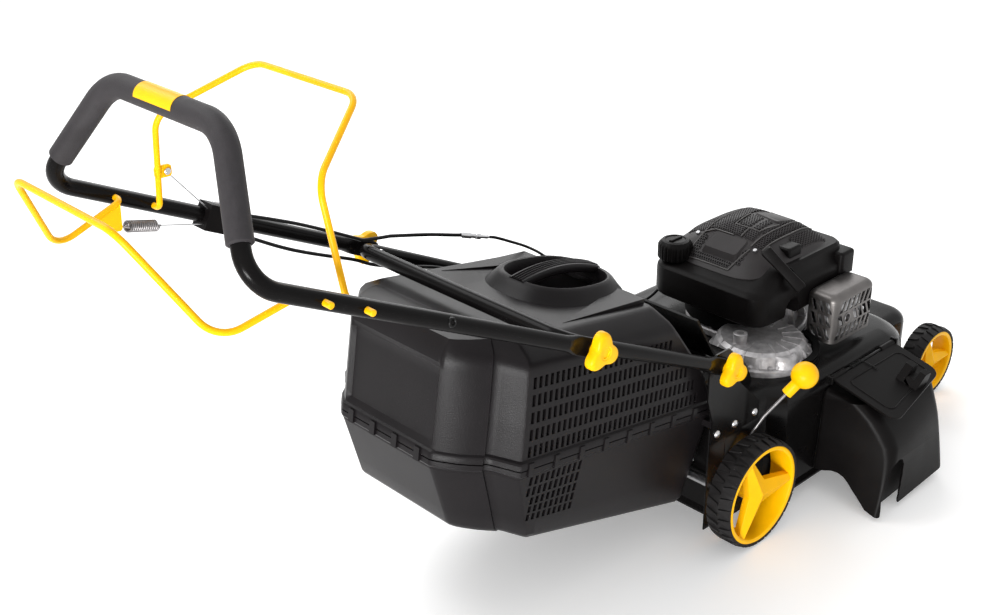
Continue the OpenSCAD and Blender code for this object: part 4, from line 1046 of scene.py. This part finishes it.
# Engine hood and fuel cap
HOOD_MASS = [
    ((172, 450), (-132, 118), 34, 301.5), ((167, 454), (-138, 123), 38, 306),
    ((165, 455), (-140, 125), 40, 314), ((165, 455), (-140, 125), 40, 352),
    ((166, 455), (-139, 124), 40, 360), ((170, 454), (-136, 121), 40, 365),
    ((178, 454), (-132, 117), 38, 368.5), ((206, 453), (-129, 113), 32, 376),
    ((234, 452), (-125, 110), 28, 392), ((244, 447), (-120, 105), 26, 397)
]
HOOD_ARCH = [(246, 290), (288, 290), (288, 322), (283, 333), (275, 339), (260, 339), (251, 333), (246, 322)]
CAP_X = 201
CAP_Y = 90
CAP_Z = 372.4
CAP_PROFILE = [
    (31, 0, 0), (32, 3, 1), (32, 27, 1), (31, 30, 0.5), (29, 33, 0),
    (26, 36, 0), (20, 37.5, 0), (19, 36, 0), (0, 36.5, 0)
]
KNURL = 1.3


def engine_hood():
    mass = loft([round_ring(x, y, corner, z, 8) for x, y, corner, z in HOOD_MASS])
    cut = slab([(x, -160, z) for x, z in HOOD_ARCH], (0, 60, 0))
    piece("engine_hood", mass, SMOOTH_PLASTIC, "chassis", ["blower_shroud", "fuel_tank"], cuts=cut, angle=30)
    step = soft_block((412, 457), (-147, -100), (338, 384), 8, 6)
    seat = soft_block((290, 332), (-108, -70), (386, 419), 6, 5)
    neck = lathe([(25, 0), (25, 22)], (CAP_X, CAP_Y, 370), UP, 32)
    piece("hood_fittings", join(step, seat, neck), SMOOTH_PLASTIC)


def fuel_cap():
    rings = []
    for radius, height, knurl in CAP_PROFILE:
        ring = []
        for k, a in enumerate(turns(120)):
            r = radius + (knurl * KNURL if k % 5 < 3 else 0)
            ring.append((CAP_X + r * cos(a), CAP_Y + r * sin(a), CAP_Z + height))
        rings.append(ring)
    bar = soft_block((184, 218), (86, 94), (406, 412), 3, 2)
    piece("cap_shell", join(loft(rings), bar), SMOOTH_PLASTIC, "fuel_cap", ["fuel_cap"], angle=30)


# Top cover: a dome with raised honeycomb panels between ribs
COVER_X = 335
COVER_Y = 2
COVER_REAR = 140
COVER_FRONT = 130
COVER_SIDE = 140
COVER_LOW = 372
COVER_RISE = 70
COVER_REACHES = [
    (138, 119), (136, 117), (130, 112), (122, 106), (112, 98), (98, 87),
    (82, 74), (62, 57), (40, 38), (18, 18), (5, 5)
]
MESH_PANELS = [
    (256, 404, 64, 100), (266, 404, 22, 56), (266, 286, -10, 22), (294, 336, -12, 12), (294, 336, -34, -22),
    (266, 286, -42, -20), (294, 404, -50, -44), (258, 412, -68, -54), (206, 214, -30, 62), (214, 246, 46, 62),
    (214, 242, -50, -42), (330, 424, -100, -78)
]
RIB_ROUTES = [
    [(252, 60), (300, 59), (350, 58), (408, 56)], [(254, 100), (300, 101), (350, 101), (404, 99)],
    [(252, -48), (300, -52), (350, -52), (410, -50)], [(256, -71), (300, -72), (350, -72), (416, -70)],
    [(338, 18), (288, 16), (290, -38), (340, -46)], [(252, 60), (204, 66), (204, -34), (246, -50)],
    [(264, -16), (288, -16)], [(262, 0), (262, 42), (252, 60)]
]
RIB_R = 1.4


def on_cover(x, y, rise):
    reach = COVER_REAR if x < COVER_X else COVER_FRONT
    across = ((abs(x - COVER_X) / reach) ** 4 + (abs(y - COVER_Y) / COVER_SIDE) ** 4) ** 0.25
    return xyz(x, y, COVER_LOW + COVER_RISE * (1 - min(across, 1) ** 2.2) + rise)


def cover_ring(back, side, low=None):
    ring = []
    for a in turns(72):
        reach = back if cos(a) < 0 else back * 0.84
        x = COVER_X + reach * bulge(cos(a), 0.5)
        y = COVER_Y + side * bulge(sin(a), 0.5)
        ring.append(on_cover(x, y, 0) if low is None else xyz(x, y, low))
    return ring


def cover_plate():
    low = round_ring((340, 412), (-44, 16), 8, 0, 5)
    high = inset_ring((340, 412), (-44, 16), 4, 8, 0, 5)
    return loft([[on_cover(p.x, p.y, -2) for p in low], [on_cover(p.x, p.y, 2.6) for p in high]])


def cover_pad():
    low = round_ring((216, 262), (-40, 42), 6, 0, 5)
    high = round_ring((222, 259), (-35, 37), 6, 0, 5)
    return loft([[on_cover(p.x, p.y, -2) for p in low], [(p.x, p.y, 407 + 0.5 * (p.x - 222)) for p in high]])


def hex_cells(rings, caps):
    shapes = []
    for i in range(54):
        for j in range(42):
            x = 200 + 4.5 * i
            y = -110 + 5.2 * j + 2.6 * (i % 2)
            if not any(x0 < x < x1 and y0 < y < y1 for x0, x1, y0, y1 in MESH_PANELS):
                continue
            cell = [[on_cover(x + r * cos(a), y + r * sin(a), rise) for a in turns(6)] for r, rise in rings]
            shapes.append(loft(cell, caps=caps))
    return join(*shapes)


def cover_rib(route):
    line = []
    for a, b in zip(route, route[1:]):
        steps = [Vector(a).lerp(Vector(b), k / 6) for k in range(6)]
        line += [on_cover(p.x, p.y, RIB_R) for p in steps]
    return tube(line + [on_cover(*route[-1], RIB_R)], RIB_R, 10)


def top_cover():
    dome = loft([cover_ring(138, 120, 368)] + [cover_ring(back, side) for back, side in COVER_REACHES])
    shell = join(dome, cover_pad(), cover_plate())
    piece("cover_shell", shell, COVER_PLASTIC, "chassis", ["top_cover"])
    walls = hex_cells([(3, -0.5), (3, 1.9), (2.15, 1.9), (2.15, 0.3)], OPEN)
    piece("cover_mesh", walls, COVER_PLASTIC)
    # Painted shade: the cell floors are darker than the cell walls, for the shade at the bottom of each cell
    shaded_floors = hex_cells([(2.4, -0.5), (2.4, 0.35)], TOPPED)
    piece("cover_mesh_shaded_floor", shaded_floors, DARK_PLASTIC_AND_SHADE)
    piece("cover_ribs", join(*[cover_rib(route) for route in RIB_ROUTES]), PALE_PLASTIC)
    screws = [rod(on_cover(250, y, -1), on_cover(248, y, 4), 4.4, 6, 0.6) for y in (74, -60)]
    piece("cover_screws", join(*screws), STEEL)


# Air filter
FILTER_LEVELS = [(4, 258), (0, 312), (0, 314), (2, 316), (2, 318), (0, 320), (1, 330), (5, 337), (13, 341)]


def air_filter():
    rings = []
    for inset, z in FILTER_LEVELS:
        rear = 292 + inset
        front = 428 - inset
        out = 190 - inset
        corners = [(rear, 135, z), (front, 135, z), (front, out, z), (rear, out, z)]
        rings.append(rounded(corners, [3, 3, 16, 16], 6))
    clip = soft_block((352, 368), (184, 193), (304, 332), 3, 3)
    piece("filter_case", join(loft(rings), clip), SMOOTH_PLASTIC, "chassis", ["air_filter"])


# Castings: the crankcase, the sump beside it and the cylinder's fins
SUMP_X = 210
SUMP_Y = -115
SUMP_PROFILE = [(96, 0), (96, 10), (94, 13), (88, 14), (85, 24), (82, 33), (74, 39), (0, 41)]
SUMP_RIB = [(40, 277), (76, 275), (93, 253), (93, 247), (40, 247)]
POST_PROFILE = [(15, 0), (14, 20), (13, 40), (13, 57), (12, 58), (7, 58), (7, 50)]
BOSS_PROFILE = [(30, 14), (27, 26), (25, 32), (22, 35), (17, 36), (15, 34), (0, 34)]
CASE_PROFILE = [(118, 0), (118, 10), (116, 13), (101, 14), (100, 30), (98, 66), (0, 66)]
CASE_RIB = [(90, 298), (103, 296), (114, 252), (114, 247), (90, 247)]
CRANK_Z = 299
FIN_HALF = 50
FIN_RISE = 44


def fan_rib(centre, turn, profile, thick):
    a = radians(turn)
    out = xyz(cos(a), sin(a), 0)
    side = xyz(-sin(a), cos(a), 0) * thick
    outline = [xyz(*centre, z) + r * out - side / 2 for r, z in profile]
    return slab(outline, side)


def arc_band(centre, section, angles):
    x, y = centre
    arcs = []
    for turn in angles:
        a = radians(turn)
        arcs.append([(x + r * cos(a), y + r * sin(a), z) for r, z in section])
    return loft(arcs)


def castings():
    sump = (SUMP_X, SUMP_Y)
    case = (ENGINE_X, 0)
    shapes = [lathe(SUMP_PROFILE, (*sump, DECK_TOP), UP, 72), lathe(CASE_PROFILE, (*case, DECK_TOP), UP, 72)]
    for turn in range(150, 400, 22):
        shapes.append(fan_rib(sump, turn, SUMP_RIB, 4))
        a = radians(turn + 11)
        bolt = (SUMP_X + 90 * cos(a), SUMP_Y + 90 * sin(a))
        shapes.append(rod((*bolt, 248), (*bolt, 254), 4.6, 6, 0.6))
    shapes.append(lathe(POST_PROFILE, (SUMP_X - 50, SUMP_Y + 11, DECK_TOP), UP, 32))
    shapes.append(lathe(BOSS_PROFILE, (SUMP_X - 23, SUMP_Y - 66, DECK_TOP), UP, 40))
    shapes += [fan_rib(case, turn, CASE_RIB, 5) for turn in range(0, 360, 30)]
    shapes.append(rod((392, 0, CRANK_Z), (495, 0, CRANK_Z), 34, 40, 2))
    shapes.append(block((336, 40, 259), (380, 100, CRANK_Z)))
    for k in range(6):
        x = 428 + 12 * k
        fin = [(x, a * FIN_HALF, CRANK_Z + b * FIN_RISE) for a, b in SQUARE]
        shapes.append(slab(rounded(fin, 14, 4), (5, 0, 0)))
    piece("engine_casting", join(*shapes), CASTING, "chassis", ["engine_block"], angle=30)
    louvres = []
    for z in (240, 248, 256):
        section = [(97, z), (108, z), (108, z + 3.5), (97, z + 3.5)]
        louvres.append(arc_band(sump, section, [6.5 * k - 95 for k in range(13)]))
    piece("sump_louvres", join(*louvres), DARK_PLASTIC_AND_SHADE)
    skirt = arc_band(case, [(118, 256), (121, 256), (121, 302), (118, 302)], range(95, 216, 5))
    piece("hood_skirt", skirt, DARK_PLASTIC_AND_SHADE)


# Muffler guard
OUTLET_X = 350
OUTLET_Z = 293


def muffler_guard():
    corners, faces = soft_block((309, 441), (-207, -140), (248, 345), 16, 14)
    open_below = (corners, faces[:-2] + faces[-1:])
    cuts = [rod((OUTLET_X, -220, OUTLET_Z), (OUTLET_X, -195, OUTLET_Z), 10, 24)]
    for row, z in enumerate((266, 293, 320)):
        lean = -5 if row == 1 else 5
        for k in range(7):
            if row == 1 and k in (1, 2):
                continue
            x = 326 + 16 * k + 3 * row
            slot = [(x + a * 5.2 + b * lean, -215, z + b * 11.5) for a, b in SQUARE]
            cuts.append(slab(slot, (0, 20, 0)))
        for y in (-190, -175, -160):
            slot = [(300, y + a * 4.2 + b * 4, z + b * 10.5) for a, b in SQUARE]
            cuts.append(slab(slot, (20, 0, 0)))
    piece("guard_shell", open_below, GUARD_STEEL, "chassis", ["muffler_guard"], wall=2, cuts=join(*cuts))
    outlet = lathe([(8, 0), (10, 0), (10, 14), (8, 14)], (OUTLET_X, -208, OUTLET_Z), LEFT, 24, loop=True)
    piece("exhaust_outlet", outlet, DULL_STEEL)


# Starter
GRIP_MIDDLE = xyz(246, -127, 400)
GRIP_AXIS = xyz(0.35, -0.62, -0.7).normalized()
ROPE_END = xyz(264.7, -124.6, 385)
GRIP_SIZES = [
    (-50, 0.75), (-48.5, 0.93), (-45, 1.0), (-20, 0.92), (0, 0.88),
    (20, 0.92), (45, 1.0), (48.5, 0.93), (50, 0.75)
]


def starter():
    pull = (ROPE_END - GRIP_MIDDLE).normalized()
    flat = (pull - GRIP_AXIS * pull.dot(GRIP_AXIS)).normalized()
    wide = GRIP_AXIS.cross(flat)
    rings = []
    for way, size in GRIP_SIZES:
        outline = [(a * 11 * size, b * 8.5 * size, 0) for a, b in SQUARE]
        centre = GRIP_MIDDLE + way * GRIP_AXIS
        rings.append([centre + p.x * wide + p.y * flat for p in rounded(outline, 4 * size, 4)])
    piece("grip_bar", loft(rings), SMOOTH_PLASTIC, "starter", ["starter_grip"])
    rope = tube([GRIP_MIDDLE, ROPE_END, ROPE_END + 8 * flat], 2, 10)
    bending("starter_rope", rope, SHEATH)
    socket = lathe([(9, -2), (12, -2), (13, 4), (13, 22), (9, 22)], ROPE_END, flat, 28, loop=True)
    piece("rope_socket", socket, DARK_PLASTIC_AND_SHADE)


# Stage
CAMERA_SPOT = (-1686, -1410, 1426)
HEADING = radians(46.53)
DIP = radians(25.86)
ROLL = radians(-0.78)
FLOOR_REACH = 20
FLOOR_GLOW = 0.2
AMBIENT = 0.84
WHITE = (1, 1, 1, 1)


def camera():
    data = bpy.data.cameras.new("camera")
    data.sensor_width = 36
    data.lens = 48.8
    data.clip_end = 50
    obj = link("camera", data)
    reach = cos(DIP)
    ahead = xyz(reach * cos(HEADING), reach * sin(HEADING), -sin(DIP))
    level = xyz(sin(HEADING), -cos(HEADING), 0)
    above = level.cross(ahead)
    right = cos(ROLL) * level + sin(ROLL) * above
    top = cos(ROLL) * above - sin(ROLL) * level
    turn = Matrix((right, top, -ahead)).transposed().to_4x4()
    obj.matrix_world = Matrix.Translation(place(CAMERA_SPOT)) @ turn
    bpy.context.scene.camera = obj


def area_light(name, spot, aim, size, power):
    data = bpy.data.lights.new(name, "AREA")
    data.shape = "RECTANGLE"
    data.size, data.size_y = size
    data.energy = power
    obj = link(name, data)
    obj.location = spot
    obj.rotation_euler = (Vector(aim) - Vector(spot)).to_track_quat("-Z", "Y").to_euler()


def seen_as(tree, plain, bright):
    path = tree.nodes.new("ShaderNodeLightPath")
    shade = plain
    for ray in ("Is Camera Ray", "Is Glossy Ray", "Is Transmission Ray"):
        choose = tree.nodes.new("ShaderNodeMixShader")
        tree.links.new(path.outputs[ray], choose.inputs["Fac"])
        tree.links.new(shade, choose.inputs[1])
        tree.links.new(bright, choose.inputs[2])
        shade = choose.outputs["Shader"]
    return shade


def backdrop_world():
    world = bpy.data.worlds.new("studio")
    bpy.context.scene.world = world
    world.use_nodes = True
    tree = world.node_tree
    ambient = tree.nodes["Background"]
    set_inputs(ambient, {"Color": WHITE, "Strength": AMBIENT})
    white = add_node(tree, "Background", {"Color": WHITE, "Strength": 1})
    shade = seen_as(tree, ambient.outputs["Background"], white.outputs["Background"])
    tree.links.new(shade, tree.nodes["World Output"].inputs["Surface"])


def floor_paint():
    pale = finish("pale_floor", None, (0.97, 0.97, 0.97), 0.95, 0, 0, (5, 0), (400, 0.005))
    tree = pale.node_tree
    plain = tree.nodes["Principled BSDF"].outputs["BSDF"]
    glow = add_node(tree, "Emission", {"Color": WHITE, "Strength": FLOOR_GLOW})
    bright = tree.nodes.new("ShaderNodeAddShader")
    tree.links.new(plain, bright.inputs[0])
    tree.links.new(glow.outputs["Emission"], bright.inputs[1])
    shade = seen_as(tree, plain, bright.outputs["Shader"])
    tree.links.new(shade, tree.nodes["Material Output"].inputs["Surface"])
    return pale


def floor():
    ground = bpy.data.meshes.new("floor")
    ground.from_pydata([(x * FLOOR_REACH, y * FLOOR_REACH, 0) for x, y in SQUARE], [], [(0, 1, 2, 3)])
    ground.materials.append(floor_paint())
    link("floor", ground)


def studio():
    camera()
    backdrop_world()
    floor()
    area_light("key", (-0.8, 1.6, 2.6), (0, 0, 0.4), (1.6, 1.2), 30)
    area_light("front", (-4.2, -2.0, 0.36), (0, 0, 0.4), (1.7, 0.66), 210)
    area_light("far", (1.9, 2.0, 1.9), (0, 0, 0.3), (2.6, 1.6), 38)
    bpy.context.scene.view_settings.view_transform = "Standard"


# Pieces that keep their plain solids
def plain_pieces():
    slots = {row["node"]: row["material_slot"] for row in frame["record"]["subparts"]}
    for name, obj in frame["nodes"].items():
        if obj.hide_render:
            continue
        obj.data.materials.clear()
        obj.data.materials.append(BLACK_STEEL if name == "flap_pins" else PLAIN[slots[name]])


for build in (
    studio, wheels, handles, grip, bails, knobs, grass_box, deck, fasteners, chute, side_flap, lever,
    cables, control_wires, engine_hood, top_cover, fuel_cap, air_filter, castings, muffler_guard,
    starter, plain_pieces
):
    build()
